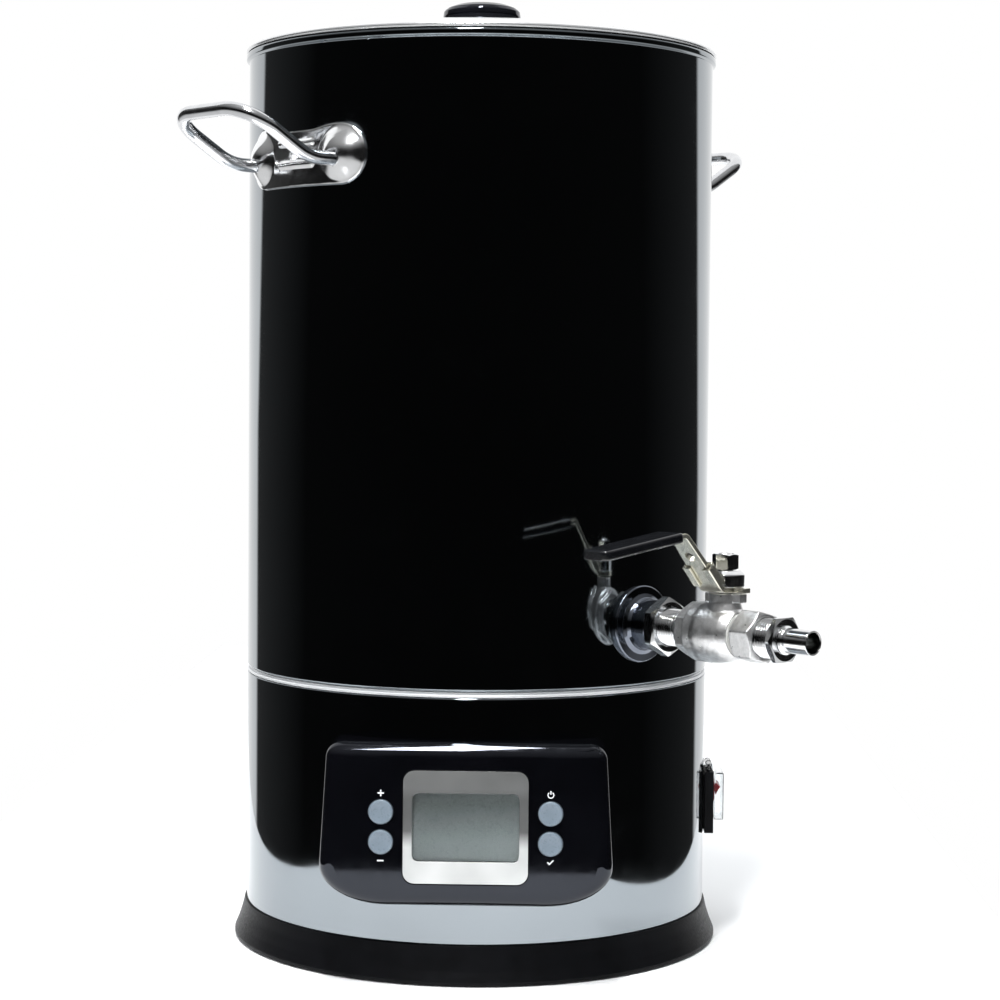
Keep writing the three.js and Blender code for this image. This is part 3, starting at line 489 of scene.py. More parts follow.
MATERIALS = {
    # sheet steel polished and coated black: a dark mirror with faint ripples
    "black_coat": surface(
        "black_mirror_steel", (0.25, 0.275, 0.295), 1.0, 0.045,
        [((9, 2), 0.93, 1.07)], ((55, 4), 0.03, 0.075), [((14, 1), 0.05, 0.25)]),
    "polished_steel": surface(
        "polished_steel", (0.74, 0.75, 0.76), 1.0, 0.12,
        [((60, 3), 0.93, 1.05)], ((180, 5), 0.06, 0.18), [((900, 4), 0.004)]),
    # the ring in the seam and the pot's inside: a fine satin finish
    "satin_steel": surface(
        "satin_steel", (0.78, 0.79, 0.8), 0.4, 0.3,
        [((20, 2), 0.96, 1.02)], ((40, 3), 0.27, 0.33)),
    # the handle brackets: polished after pressing, so the sheet keeps soft waves
    "pressed_steel": surface(
        "pressed_steel", (0.86, 0.87, 0.88), 1.0, 0.14,
        [((60, 3), 0.93, 1.05)], ((90, 3), 0.08, 0.2), [((110, 1), 0.5, 0.8)]),
    # the saddle flange: polished steel whose base colour is darkened as painted shade, standing in for the dark
    # room it reflects, so it matches the kettle
    "chrome_painted_dark": surface(
        "chrome_painted_dark", (0.15, 0.165, 0.195), 1.0, 0.1,
        [((60, 3), 0.92, 1.06)], ((180, 5), 0.06, 0.16), [((900, 4), 0.003)]),
    # the lid: rolled and spun sheet
    "spun_steel": surface(
        "spun_steel", (0.72, 0.73, 0.74), 0.9, 0.2,
        [((12, 2), 0.97, 1.02)], ((30, 3), 0.18, 0.22), Anisotropic=0.4),
    "rod_steel": surface(
        "rod_steel", (0.7, 0.71, 0.73), 1.0, 0.12,
        [((120, 3), 0.92, 1.06)], ((300, 4), 0.08, 0.2), [((1200, 3), 0.004)]),
    # bead blasted castings: a fine grain, with paler worn high spots
    "cast_steel": surface(
        "cast_steel", (0.7, 0.7, 0.7), 0.93, 0.34,
        [((420, 5, (1, 1, 1), 0.65), 0.82, 1.12)], ((240, 4), 0.27, 0.42),
        [((2600, 3), 0.03, 0.7), ((300, 2), 0.05, 0.6)]),
    # pressed and zinc plated sheet, a little yellow, with rolling marks
    "zinc_steel": surface(
        "zinc_steel", (0.7, 0.68, 0.58), 0.9, 0.2,
        [((260, 3), 0.93, 1.05)], ((300, 3), 0.14, 0.26), [((900, 2, (1, 1, 0.3)), 0.003)]),
    "aluminium": surface(
        "aluminium", (0.66, 0.66, 0.67), 1.0, 0.4,
        [((90, 4), 0.88, 1.06)], ((400, 4, (1, 8, 1)), 0.3, 0.48), [((900, 3, (1, 12, 1)), 0.01)]),
    # moulded gloss plastic: flow ripples and a few hairline scuffs in its shine
    "black_plastic": surface(
        "gloss_black_plastic", (0.002, 0.0021, 0.003), 0.0, 0.05,
        [((35, 3), 0.8, 1.25)], ((120, 5), 0.03, 0.08), [((30, 1), 0.03, 0.25)],
        IOR=1.5, Specular_Tint=(0.8, 0.86, 1.0, 1)),
    # moulded satin plastic with a fine eroded grain
    "satin_plastic": surface(
        "satin_black_plastic", (0.003, 0.0032, 0.004), 0.0, 0.4,
        [((80, 4), 0.75, 1.3)], ((700, 3), 0.33, 0.5), [((2200, 2), 0.02, 0.8)],
        Specular_IOR_Level=0.1),
    # the display's plate: printed foil whose colour holds a painted reflection, pale along its lower edge where
    # the floor would show and clouded grey above
    "silver_plastic": surface(
        "silver_foil_painted_reflection", (0.93, 0.94, 0.93), 0.3, 0.24,
        [(("Z", 0.093, 0.07), 0.2, 1.0), (("Z", 0.0995, 0.1145), 0.72, 1.0), ((45, 1), 0.8, 1.0)],
        ((30, 3), 0.22, 0.28)),
    "button_plastic": surface(
        "button_plastic", (0.16, 0.2, 0.24), 0.0, 0.26,
        [((160, 3), 0.93, 1.06)], ((900, 3), 0.24, 0.38), [((2600, 2), 0.008)]),
    "red_plastic": surface(
        "red_plastic", (0.42, 0.018, 0.028), 0.0, 0.26,
        [((120, 3), 0.85, 1.12)], ((700, 3), 0.2, 0.34), [((2000, 2), 0.006)]),
    # clear moulded plastic with slight ripples from the mould
    "clear_plastic": surface(
        "clear_plastic", (0.93, 0.95, 0.96), 0.0, 0.05,
        [((60, 2), 0.97, 1.02)], ((300, 3), 0.03, 0.1), [((90, 2), 0.02, 0.4)],
        Transmission_Weight=1.0, IOR=1.46),
    # the unlit display: a grey-green glass with a painted reflection that makes it paler towards its lower and
    # right edges
    "display_glass": surface(
        "display_face_painted_reflection", (0.45, 0.5, 0.49), 0.0, 0.3,
        [(("Z", 0.115, 0.065), 0.5, 1.0), (("X", -0.04, 0.04), 0.88, 1.0)],
        ((800, 3), 0.24, 0.36), [((1500, 2), 0.003)], Coat_Weight=0.5, Coat_Roughness=0.03),
    # green solder mask with paler copper tracks showing through
    "circuit_board": surface(
        "circuit_board", (0.02, 0.13, 0.055), 0.0, 0.32,
        [((350, 2, (1, 4, 1)), 0.7, 1.4)], ((300, 3), 0.25, 0.4), [((500, 1, (1, 5, 1)), 0.03)]),
    "rubber": surface(
        "rubber", (0.022, 0.022, 0.023), 0.0, 0.75,
        [((200, 4), 0.75, 1.3)], ((900, 4), 0.65, 0.85), [((1600, 3), 0.03)]),
    # the lever's grip: soft black vinyl with a sheen and faint drips
    "vinyl": surface(
        "dipped_vinyl", (0.005, 0.0053, 0.0065), 0.0, 0.14,
        [((180, 3), 0.75, 1.35)], ((350, 4), 0.1, 0.2), [((220, 2), 0.02, 0.6)]),
    "silicone": surface(
        "silicone", (0.3, 0.035, 0.025), 0.0, 0.5,
        [((200, 3), 0.85, 1.15)], ((600, 3), 0.42, 0.6)),
    "teflon": surface(
        "sealing_white", (0.82, 0.82, 0.79), 0.0, 0.45,
        [((300, 3), 0.93, 1.03)], ((500, 3), 0.38, 0.55)),
    # screen printed white ink, a little uneven
    "white_print": surface(
        "white_print", (0.78, 0.79, 0.8), 0.0, 0.55,
        [((1500, 3), 0.88, 1.05)], ((900, 3), 0.45, 0.65)),
}

RECORD = frame["record"]
BODY_OF = {node: body for body, nodes in RECORD["behaviour"]["bodies"].items() for node in nodes}
SLOT_OF = {entry["node"]: entry["material_slot"] for entry in RECORD["subparts"]}


def stands_for(piece, node, look=None):
    """A piece takes a CAD node's place, body and record slot, and a look of its own if one is named."""
    slot = SLOT_OF[node]
    if not piece.data.materials:
        piece.data.materials.append(MATERIALS[look or slot])
    even_normals(piece)
    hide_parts(node)
    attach(piece, BODY_OF[node])


def added(piece, body, look):
    """A piece with no CAD node of its own, such as a printed mark or a small screw."""
    piece.data.materials.append(MATERIALS[look])
    even_normals(piece)
    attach(piece, body)


def dress(node, bevel):
    """A CAD node that stays: better edges and a better material."""
    piece = frame["nodes"][node]
    material = MATERIALS[SLOT_OF[node]]
    if piece.material_slots:
        for slot in piece.material_slots:
            slot.material = material
    else:
        piece.data.materials.append(material)
    if bevel:
        bevelled(piece, bevel)
        even_normals(piece)


# ---- kettle and lid

BIG = 256  # sides of the kettle-sized turned pieces
LEDGE_R = 128  # how far in the joint ring and the skirt's top reach
LID_BORE = 2.8  # the knob screw's hole


def build_kettle():
    inner = KETTLE_R - SHEET
    floor = SHELL_UNDER + 1.4

    def inside(radius, height):
        return 1 if radius < inner + 0.3 and height > SHELL_UNDER + 0.5 else 0

    pot = turned("kettle_pot", [
        (0, SHELL_UNDER), (KETTLE_R - 1.2, SHELL_UNDER, 0.5), (KETTLE_R, SHELL_UNDER + 1.1, 1),
        (KETTLE_R, RIM_Z - 4.9, 0.6), (RIM_R, RIM_Z - 3.9, 0.9), (RIM_R, RIM_Z - 0.2, 1.6),
        (inner, RIM_Z - 0.2, 0.9), (inner, floor, 6), (0, floor),
    ], sides=BIG, slots=(MATERIALS["black_coat"], MATERIALS["satin_steel"]), slot_of=inside)
    stands_for(pot, "kettle_shell")

    low, high = local_box("joint_ring")
    bead, neck = KETTLE_R - 0.15, KETTLE_R - 1.4
    stands_for(turned("seam_ring", [
        (LEDGE_R, low.z), (bead, low.z, 0.4), (bead, low.z + 1.5, 0.7), (neck, low.z + 1.7),
        (neck, high.z), (LEDGE_R, high.z),
    ], sides=BIG, closed=True), "joint_ring", "satin_steel")


def build_lid():
    low, high = local_box("lid")
    seat = RIM_Z + 0.3
    edge = high.x
    top = high.z
    plug = KETTLE_R - SHEET - 1
    sheet = 0.9
    steps = [0.06, 0.2, 0.34, 0.48, 0.62, 0.76, 0.88, 0.94]
    crown = [(136 * t, top - (top - seat - 4) * t * t) for t in steps]
    under = [(radius, z - sheet) for radius, z in reversed(crown)]
    stands_for(turned("lid_dome", [
        (LID_BORE, top), *crown,
        (135.5, seat + 3.3, 3), (edge - 0.6, seat + 2.5, 0.9), (edge, seat + 1.2, 0.9),
        (edge - 0.6, seat, 0.5), (plug, seat, 0.3), (plug, low.z, 0.4), (plug - 1, low.z, 0.4),
        (plug - 1, seat + 2, 1.5),
        *under,
        (LID_BORE, top - sheet),
    ], sides=BIG, closed=True), "lid", "spun_steel")

    low, high = local_box("knob_collar")
    stands_for(turned("knob_dish", [
        (LID_BORE, low.z), (high.x, low.z, 0.4), (high.x - 0.6, high.z, 0.5), (LID_BORE, high.z),
    ], closed=True), "knob_collar")

    low, high = local_box("lid_knob")
    radius, base, crest = high.x, low.z, high.z
    stands_for(turned("knob_cap", [
        (LID_BORE, base), (radius - 4, base, 1), (radius - 1.1, base + 1.2, 1.5),
        (radius, base + 4.4, 2.5), (radius - 0.4, base + 7.4, 0.8),
        (radius - 1.3, base + 8.6, 0.5), (radius - 1.8, base + 8.4, 0.3),
        (radius - 2.7, base + 9.6, 1), (radius - 8.5, crest - 0.4, 12), (0, crest),
        (0, base + 7.3), (LID_BORE, base + 7.3),
    ], closed=True, sides=128), "lid_knob")

    low, high = local_box("knob_screw")
    head = low.z
    stands_for(turned("knob_bolt", [
        (0, head), (3.6, head, 1.2), (4.9, head + 1.3, 0.8), (4.9, head + 2.8),
        (2.5, head + 2.8), (2.5, high.z), (0, high.z),
    ], sides=40), "knob_screw")


# ---- handles


def eased(share):
    """Goes from 0 to 1 with a flat start and end."""
    share = min(1.0, max(0.0, share))
    return share ** 2 * (3 - 2 * share)


def disc_map(u, v):
    """Maps the corner square 0..1 by 0..1 onto a quarter disc."""
    return u * math.sqrt(1 - v * v / 2), v * math.sqrt(1 - u * u / 2)


WAIST = 3  # how far the bracket's upper edge dips between its bosses


def stamped(y, z, half, boss):
    """Height of the bracket's stamped face above the kettle's wall at a place on it."""
    from_axis = math.hypot(max(0.0, abs(y) - (half[0] - half[1])), z)
    roll = min(1.0, max(half[1] - from_axis, 0) / 1.3)
    base = 2.0 * math.sqrt(max(0.0, 1 - (1 - roll) ** 2))
    away = min(1.0, math.hypot(abs(y) - boss[0], z) / boss[1])
    dome = 7.0 * (1 - away ** 2) ** 1.35
    rib = 0.0
    for row in (-4.6, 8.6):
        reach = math.hypot((z - row) / 2.5, max(0.0, abs(y) - 14) / 2.5)
        rib = max(rib, 1.6 * (1 - min(reach, 1) ** 2) ** 0.7)
    return base + max(dome, rib)


def handle_bracket(name, place, half, boss, hole):
    """The stamped strap: a long round-ended plate with two domed bosses and two ribs between them."""
    columns, rows = 150, 52
    wall = KETTLE_R + 0.15
    corner = half[1] - 0.1
    front, back = [], []
    for i in range(columns + 1):
        for j in range(rows + 1):
            y, z = half[0] * (2 * i / columns - 1), half[1] * (2 * j / rows - 1)
            over_y, over_z = abs(y) - (half[0] - corner), abs(z) - (half[1] - corner)
            if over_y > 0 and over_z > 0:
                a, b = disc_map(over_y / corner, over_z / corner)
                y = math.copysign(half[0] - corner + a * corner, y)
                z = math.copysign(half[1] - corner + b * corner, z)
            rise = stamped(y, z, half, boss)
            if z > 0:
                z -= WAIST * eased((32 - abs(y)) / 22) * z / half[1]
            angle = y / KETTLE_R
            front.append(((wall + rise) * math.cos(angle), (wall + rise) * math.sin(angle), z))
            back.append((wall * math.cos(angle), wall * math.sin(angle), z))
    count = (columns + 1) * (rows + 1)

    def at(i, j):
        return i * (rows + 1) + j

    faces = []
    for i in range(columns):
        for j in range(rows):
            quad = [at(i, j), at(i + 1, j), at(i + 1, j + 1), at(i, j + 1)]
            faces.append(quad)
            faces.append([index + count for index in reversed(quad)])
    rim = [at(i, 0) for i in range(columns)] + [at(columns, j) for j in range(rows)]
    rim += [at(i, rows) for i in range(columns, 0, -1)] + [at(0, j) for j in range(rows, 0, -1)]
    for a, b in zip(rim, rim[1:] + rim[:1]):
        faces.append([a, b, b + count, a + count])
    bracket = make(name, front + back, faces, place, 50)
    start, y, z = hole
    holes = [
        rod("hole", 4.25, start - 0.3, 165, place @ Matrix.Translation((0, side * y, z)) @ ALONG_X)
        for side in (-1, 1)]
    return carve(bracket, *holes)


def build_handles():
    for side in ("left", "right"):
        centre = sum(local_box(f"handle_rod_{side}"), Vector()) / 2
        flat = radial_place(azimuth_of(centre), 0)
        plate_low, plate_high = local_box(f"handle_bracket_{side}", flat)
        place = radial_place(azimuth_of(centre), (plate_low.z + plate_high.z) / 2)
        low, high = local_box(f"handle_rod_{side}", place)
        radius = 4
        start, leg, foot_z = low.x, high.y - radius, low.z + radius
        reach, bar_z = high.x - radius, high.z - radius
        half_length = math.asin(plate_high.y / (KETTLE_R + 2)) * KETTLE_R
        half = (half_length, (plate_high.z - plate_low.z) / 2)
        boss = (math.radians(14.5) * KETTLE_R, 15.8)
        plate = handle_bracket(f"handle_plate_{side}", place, half, boss, (start, leg, foot_z))
        stands_for(plate, f"handle_bracket_{side}", "pressed_steel")
        knee, knee_bend, bar_bend = 161, 33, 21
        path = filleted_path([
            (start, leg, foot_z), (knee, leg, foot_z, knee_bend), (reach, leg, bar_z, bar_bend),
            (reach, -leg, bar_z, bar_bend), (knee, -leg, foot_z, knee_bend), (start, -leg, foot_z),
        ])
        stands_for(swept(f"handle_bar_{side}", path, radius, place, sides=36), f"handle_rod_{side}")


# ---- base


def build_base():
    low, high = local_box("base_skirt")
    inner = KETTLE_R - SHEET
    skirt = turned("base_wall", [
        (inner, low.z), (KETTLE_R, low.z, 0.5), (KETTLE_R, high.z, 0.8), (LEDGE_R, high.z),
        (LEDGE_R, high.z - SHEET), (inner, high.z - SHEET, 0.6),
    ], sides=BIG, closed=True)
    display = local_box("keypad_board")
    switch = local_box("switch_frame")
    inlet = local_box("power_inlet")
    carve(
        skirt,
        block("panel_cut", (-64, -150, display[0].z - 5), (64, -110, display[1].z + 5)),
        block("switch_cut", (120, -10.4, switch[0].z + 4), (150, 10.4, switch[0].z + 32)),
        block("inlet_cut", (-14, 120, inlet[0].z + 1.5), (14, 150, inlet[1].z - 1.5)))
    stands_for(skirt, "base_skirt")

    low, high = local_box("foot_ring")
    top = local_box("base_skirt")[0].z - 0.3
    tongue = KETTLE_R - SHEET - 0.5
    ring = turned("foot_moulding", [
        (135.2, low.z, 0.4), (high.x, low.z, 0.6), (high.x, low.z + 2, 1.5),
        (high.x - 2.3, 5.5, 20), (high.x - 4.6, 12.5, 30), (high.x - 6.1, top, 0.4),
        (tongue, top), (tongue, high.z), (tongue - 2.4, high.z), (tongue - 2.4, 5), (128.5, 5),
        (128.5, 2.4), (135.2, 2.4),
    ], sides=BIG, closed=True)
    stands_for(ring, "foot_ring")

    for number in range(1, 5):
        low, high = local_box(f"rubber_foot_{number}")
        place = Matrix.Translation(((low.x + high.x) / 2, (low.y + high.y) / 2, 0))
        stands_for(turned(f"foot_pad_{number}", [
            (0, low.z), (3, low.z, 0.3), (3.6, low.z + 0.8, 0.3), (5, low.z + 0.8, 0.3),
            (5.6, low.z, 0.3), (8.4, low.z, 0.8), (9, high.z), (0, high.z),
        ], place, sides=48), f"rubber_foot_{number}")
    for number, spot in enumerate(circle(127, 0, 8)):
        place = Matrix.Translation(spot)
        screw = turned(f"cover_screw_{number + 1}", [
            (0, -1.1), (1.0, -1.1), (1.2, -1.9, 0.2), (2.6, -1.7, 0.5), (3.4, -0.6, 0.4),
            (3.5, -0.05), (0, -0.05),
        ], place, sides=28)
        added(screw, "brewer", "polished_steel")


# ---- control panel


def panel_outline(box, inset):
    """The housing's outline as (x, z), drawn in by an inset, with the same points at every inset."""
    low, high = box
    bottom, top = low.z + inset, high.z - inset
    foot, head = high.x - inset, high.x - 3.45 - inset
    wide, tall, tight = max(38 - inset, 8), max(22.5 - inset, 6), max(9 - inset, 2.5)
    corners = (
        (foot - wide, bottom + tall, wide, tall, -90),
        (head - tight, top - tight, tight, tight, 0),
        (tight - head, top - tight, tight, tight, 90),
        (wide - foot, bottom + tall, wide, tall, 180))
    outline = []
    for x, z, across, along, start in corners:
        for k in range(13):
            angle = math.radians(start + 90 * k / 12)
            outline.append((x + across * math.cos(angle), z + along * math.sin(angle)))
    return outline


def spaced(outline):
    """The same closed outline with evenly spaced points."""
    loop = np.array(outline + outline[:1])
    steps = np.r_[0, np.cumsum(np.hypot(*np.diff(loop, axis=0).T))]
    at = np.linspace(0, steps[-1], 220, endpoint=False)
    return list(zip(np.interp(at, steps, loop[:, 0]), np.interp(at, steps, loop[:, 1])))


def display_shape(node, grow, radius):
    low, high = local_box(node)
    width, height = high.x - low.x + 2 * grow, high.z - low.z + 2 * grow
    return rounded_rect(width, height, radius, (0, (low.z + high.z) / 2))


def front_prism(name, outline, front, back):
    """An outline in X and Z as a plate between two depths in front of the kettle's axis."""
    return prism(name, outline, back, front, TO_FRONT)


BUTTONS = ("plus", "minus", "on_off", "set")


def button_place(name):
    """A frame behind the middle of a button whose +Z points to the front."""
    centre = sum(local_box(f"button_{name}"), Vector()) / 2
    return Matrix.Translation((centre.x, 0, centre.z)) @ TO_FRONT


def build_housing():
    box = local_box("panel_housing")
    front = -box[0].y
    shoulder = 9.0
    loops = []
    for k in range(9):
        angle = math.pi / 2 * k / 8
        inset = shoulder * (1 - math.sin(angle))
        depth = front - shoulder * (1 - math.cos(angle)) * 0.85
        loops.append([(x, -depth, z) for x, z in spaced(panel_outline(box, inset))])
    wall = KETTLE_R + 1.0
    inner = spaced(panel_outline(box, 3))
    for outline in (spaced(panel_outline(box, 0)), inner):
        loops.append([(x, -math.sqrt(wall ** 2 - x ** 2), z) for x, z in outline])
    loops.append([(x, 3.4 - front, z) for x, z in inner])
    housing = loft("panel_shell", loops)

    recess_depth = -local_box("lcd_bezel")[1].y - 0.2
    cutters = [
        front_prism("recess", display_shape("lcd_bezel", 0.55, 6.9), front + 2, recess_depth),
        front_prism("opening", display_shape("lcd_window", 1, 4.2), front + 2, front - 9)]
    cutters += [rod("hole", 7.2, front - 8, front + 2, button_place(name), 64) for name in BUTTONS]
    carve(housing, *cutters)
    stands_for(soften(housing, 0.3, 2, 35), "panel_housing")


def build_display():
    low, high = local_box("lcd_bezel")
    front, back = -low.y, -high.y
    plate = front_prism("display_plate", display_shape("lcd_bezel", 0, 6.3), front, back)
    carve(plate, front_prism("opening", display_shape("lcd_window", 0.25, 3.7), front + 2, back - 2))
    stands_for(soften(plate, 0.3, 3), "lcd_bezel")

    low, high = local_box("lcd_window")
    pane = front_prism("display_pane", display_shape("lcd_window", 0, 3.4), -low.y, -high.y)
    stands_for(soften(pane, 0.3), "lcd_window")


def build_buttons():
    for name in BUTTONS:
        low, high = local_box(f"button_{name}")
        front = -low.y
        stands_for(turned(f"{name}_cap", [
            (0, front - 0.55), (4.6, front - 0.3, 8), (5.7, front - 0.05, 0.3),
            (6.35, front - 0.2, 0.4), (6.85, front - 0.9, 0.5), (6.85, front - 5.1),
            (7.85, front - 5.1), (7.85, front - 6.2), (2.5, front - 6.2), (2.5, -high.y),
            (0, -high.y),
        ], button_place(name), sides=72), f"button_{name}")


def bar(x, z, width, height):
    return rounded_rect(width, height, min(width, height) * 0.3, (x, z))


def arc_outline(x, z, radius, thickness, start, end):
    """An arc drawn as a closed outline, with its angles in degrees."""
    angles = [math.radians(start + (end - start) * k / 24) for k in range(25)]
    outer, inner = (
        [(x + reach * math.cos(a), z + reach * math.sin(a)) for a in angles]
        for reach in (radius + thickness / 2, radius - thickness / 2))
    return outer + inner[::-1]


def build_marks():
    """Generic symbols printed by the buttons, thin and raised: plus, minus, power and a tick."""
    front = -local_box("panel_housing")[0].y
    plus, minus = local_box("button_plus"), local_box("button_minus")
    above, below = plus[1].z + 2.6, minus[0].z - 2.6
    left = (plus[0].x + plus[1].x) / 2
    right = -left
    tick = [(-1.9, 0.1), (-1.4, 0.6), (-0.5, -0.3), (1.5, 1.7), (2.0, 1.2), (-0.5, -1.3)]
    for name, outline in {
        "plus_bar": bar(left, above, 3.6, 0.8),
        "plus_post_top": bar(left, above + 1.2, 0.8, 1.3),
        "plus_post_low": bar(left, above - 1.2, 0.8, 1.3),
        "minus_bar": bar(left, below, 3.6, 0.8),
        "power_arc": arc_outline(right, above, 1.6, 0.6, 125, 415),
        "power_post": bar(right, above + 1.3, 0.65, 2.0),
        "set_tick": [(right + x, below + z) for x, z in tick],
    }.items():
        printed = front_prism(name, outline, front + 0.06, front - 0.1)
        added(printed, "brewer", "white_print")


# ---- mains switch and inlet


def build_switch():
    low, high = local_box("switch_rocker")
    pivot = Vector(JOINTS["rocker_tip"]["pos_m"]) / MM
    tilt = math.radians(sum(JOINTS["rocker_tip"]["range_deg"]) / 2)
    half = (high.y - low.y) / 2
    face = [(7.9 - 2.1 * (1 - (k / 5) ** 2), 9.7 * k / 5) for k in range(-5, 6)]
    outline = rounded([
        (*face[0], 0.8), *face[1:-1], (*face[-1], 0.8),
        (3.3, 12, 1), (-4, 10, 1), (-7, 0, 3), (-4, -8.6, 1), (3, -8.8),
    ], True)
    place = Matrix.Translation(pivot) @ Matrix.Rotation(tilt, 4, "Y") @ TO_FRONT
    rocker = prism("rocker_paddle", outline, -half, half, place)
    stands_for(soften(rocker, 0.6, 3, 40), "switch_rocker")


def build_cover():
    """The clear splash cover: a thin box that hangs from knuckles on the pin by a sloping web."""
    low, high = local_box("switch_cover")
    pin = Vector(JOINTS["cover_flip"]["pos_m"]) / MM
    side, wall = high.y, 0.8
    back, top = high.x - 5.8, low.z + 29
    cover = soften(block("cover_box", (back, -side, low.z), (high.x, side, top)), 0.9, 3)
    room = (back - 2, wall - side, low.z + wall), (high.x - wall, side - wall, top - wall)
    carve(cover, block("cover_hollow", *room))
    web = [
        (back, top - 1.2), (back + 1.2, top - 1.2), (back + 1.6, top - 0.2),
        (pin.x + 1.5, pin.z + 1.9), (pin.x, pin.z + 1.9), (pin.x, pin.z + 0.8), (back - 0.4, top + 0.6)]
    unite(cover, prism("web", web, -side, side, TO_FRONT))
    around_pin = Matrix.Translation((pin.x, 0, pin.z)) @ TO_FRONT
    rooms = [
        block("ear_room", (pin.x - 3, start, pin.z - 3), (pin.x + 2.5, end, pin.z + 3))
        for start, end in ((-1.6, 1.6), (9, side + 1))]
    carve(cover, *rooms)
    knuckles = [
        turned("knuckle", [(0, start), (2, start, 0.2), (2, end, 0.2), (0, end)], around_pin, sides=40)
        for start, end in ((-9, -1.6), (1.6, side))]
    unite(cover, *knuckles)
    carve(cover, rod("bore", 1.3, -side - 1, side + 1, around_pin, 32))
    stands_for(cover, "switch_cover")


# ---- CAD nodes that stay

EDGES = {  # bevel in millimetres
    0: (
        "lcd_module", "keypad_board", "panel_gasket", "heater_lead_a", "heater_lead_b",
        "mains_lead", "bulkhead_gasket", "ball_seat_inner", "ball_seat_outer", "valve_ball"),
    0.1: ("cover_pin",),
    0.2: (
        "heater_disc", "heat_shield", "heat_sink", "control_board", "heating_element",
        "temperature_probe"),
    0.3: ("bottom_cover",),
    0.5: ("switch_frame",),
    0.6: ("power_inlet",),
}


def build_kept_nodes():
    for bevel, nodes in EDGES.items():
        for node in nodes:
            dress(node, bevel)


# ---- drain valve
# In the valve's own frame x runs outwards along the pipe, and the profiles give (radius, x).

PIPE = VALVE @ ALONG_X
UP = VALVE @ Matrix.Translation((STEM_S, 0, 0))
PORT_R, BALL_ROOM_R = 7.5, 12.3  # the pipe's bore and the room for the ball


def span(node):
    """Where a node of the valve starts and ends along the pipe."""
    low, high = local_box(node, VALVE)
    return low.x, high.x


def height(node):
    low, high = local_box(node, VALVE)
    return low.z, high.z


def build_bulkhead():
    _, end = span("bulkhead_flange")
    flange = turned("saddle_flange", [
        (10.8, end - 20.6), (22, end - 20.6), (22, end - 14.4, 0.5), (21.3, end - 13.7, 0.6),
        (17.4, end - 13.2, 1.4), (15.2, end - 11.9, 1), (14.2, end - 10, 1), (14.2, end, 0.6),
        (10.8, end, 0.3),
    ], PIPE, sides=128, closed=True)
    inverse = VALVE.inverted()
    for vertex in flange.data.vertices:
        point = inverse @ (vertex.co / MM)
        point.x = max(point.x, math.sqrt((KETTLE_R + 0.08) ** 2 - point.y ** 2))
        vertex.co = (VALVE @ point) * MM
    # the flange's chrome carries painted shade: its base colour is darkened for the dark room it reflects
    stands_for(flange, "bulkhead_flange", "chrome_painted_dark")

    start, end = span("bulkhead_nipple")
    nipple = threaded_tube("threaded_nipple", 10.45, 7.9, start, end, PIPE)
    stands_for(nipple, "bulkhead_nipple", "polished_steel")
    start, end = span("outer_nut")
    stands_for(hex_nut("bulkhead_nut", 29.6, 10.8, start, end, PIPE), "outer_nut")
    start, end = span("inner_nut")
    stands_for(hex_nut("backing_nut", 27, 10.8, start, end, PIPE), "inner_nut")


def build_valve_castings():
    start, end = span("valve_end_cap")
    joint = start + 19
    cap = hex_nut("end_cap_casting", 28, 0, start, start + 8.4, PIPE)
    unite(cap, turned("round", [
        (0, start + 7), (15.2, start + 7), (17, start + 8.8, 0.5), (17, start + 17.8, 0.6),
        (16, joint - 0.1), (13.4, joint - 0.1), (13.4, end), (0, end),
    ], PIPE))
    carve(cap, turned("bore", [
        (0, start - 9), (10.8, start - 9), (10.8, start + 5.7), (PORT_R, start + 5.7),
        (PORT_R, start + 12.6), (BALL_ROOM_R, start + 12.6), (BALL_ROOM_R, end + 2), (0, end + 2),
    ], PIPE))
    stands_for(cast(cap), "valve_end_cap")

    start, end = span("valve_body")
    high = height("valve_body")[1]
    body = turned("ball_casting", [
        (0, start), (15.6, start), (17, start + 1.3, 0.5), (17, start + 6.4, 8),
        (16.4, start + 13.4, 30), (15.2, start + 20.4, 16), (12.6, start + 26), (0, start + 26),
    ], PIPE)
    dot = [(0, high - 5.4), (2.9, high - 5.4), (2.9, high - 0.3, 1), (0, high - 0.3)]
    unite(
        body,
        hex_nut("outlet", 26.4, 0, end - 15, end, PIPE @ Matrix.Rotation(math.radians(15), 4, "Z")),
        turned("bonnet", [(0, 6), (10.6, 12), (8.8, 17.4, 4), (8.8, high, 0.6), (0, high)], UP),
        block("right_lug", (5, -3, high - 5), (13.6, 3, high), UP),
        block("left_arm", (-11, -2.4, high - 5), (-5, 2.4, high - 0.8), UP),
        turned("left_lug", dot, UP @ Matrix.Translation((-10.9, 0, 0)), sides=32))
    carve(
        body,
        block("cap_room", (start - STEM_S - 20, -20, 0), (start - STEM_S, 20, 17.4), UP),
        turned("bore", [
            (0, start - 2), (13.9, start - 2), (13.9, start + 2.2), (BALL_ROOM_R, start + 2.2),
            (BALL_ROOM_R, end - 17.3), (PORT_R, end - 17.3), (PORT_R, end - 10), (11, end - 10),
            (11, end + 2), (0, end + 2),
        ], PIPE),
        rod("stem_hole", 4.3, 5, high + 3, UP, 32))
    stands_for(cast(body), "valve_body")


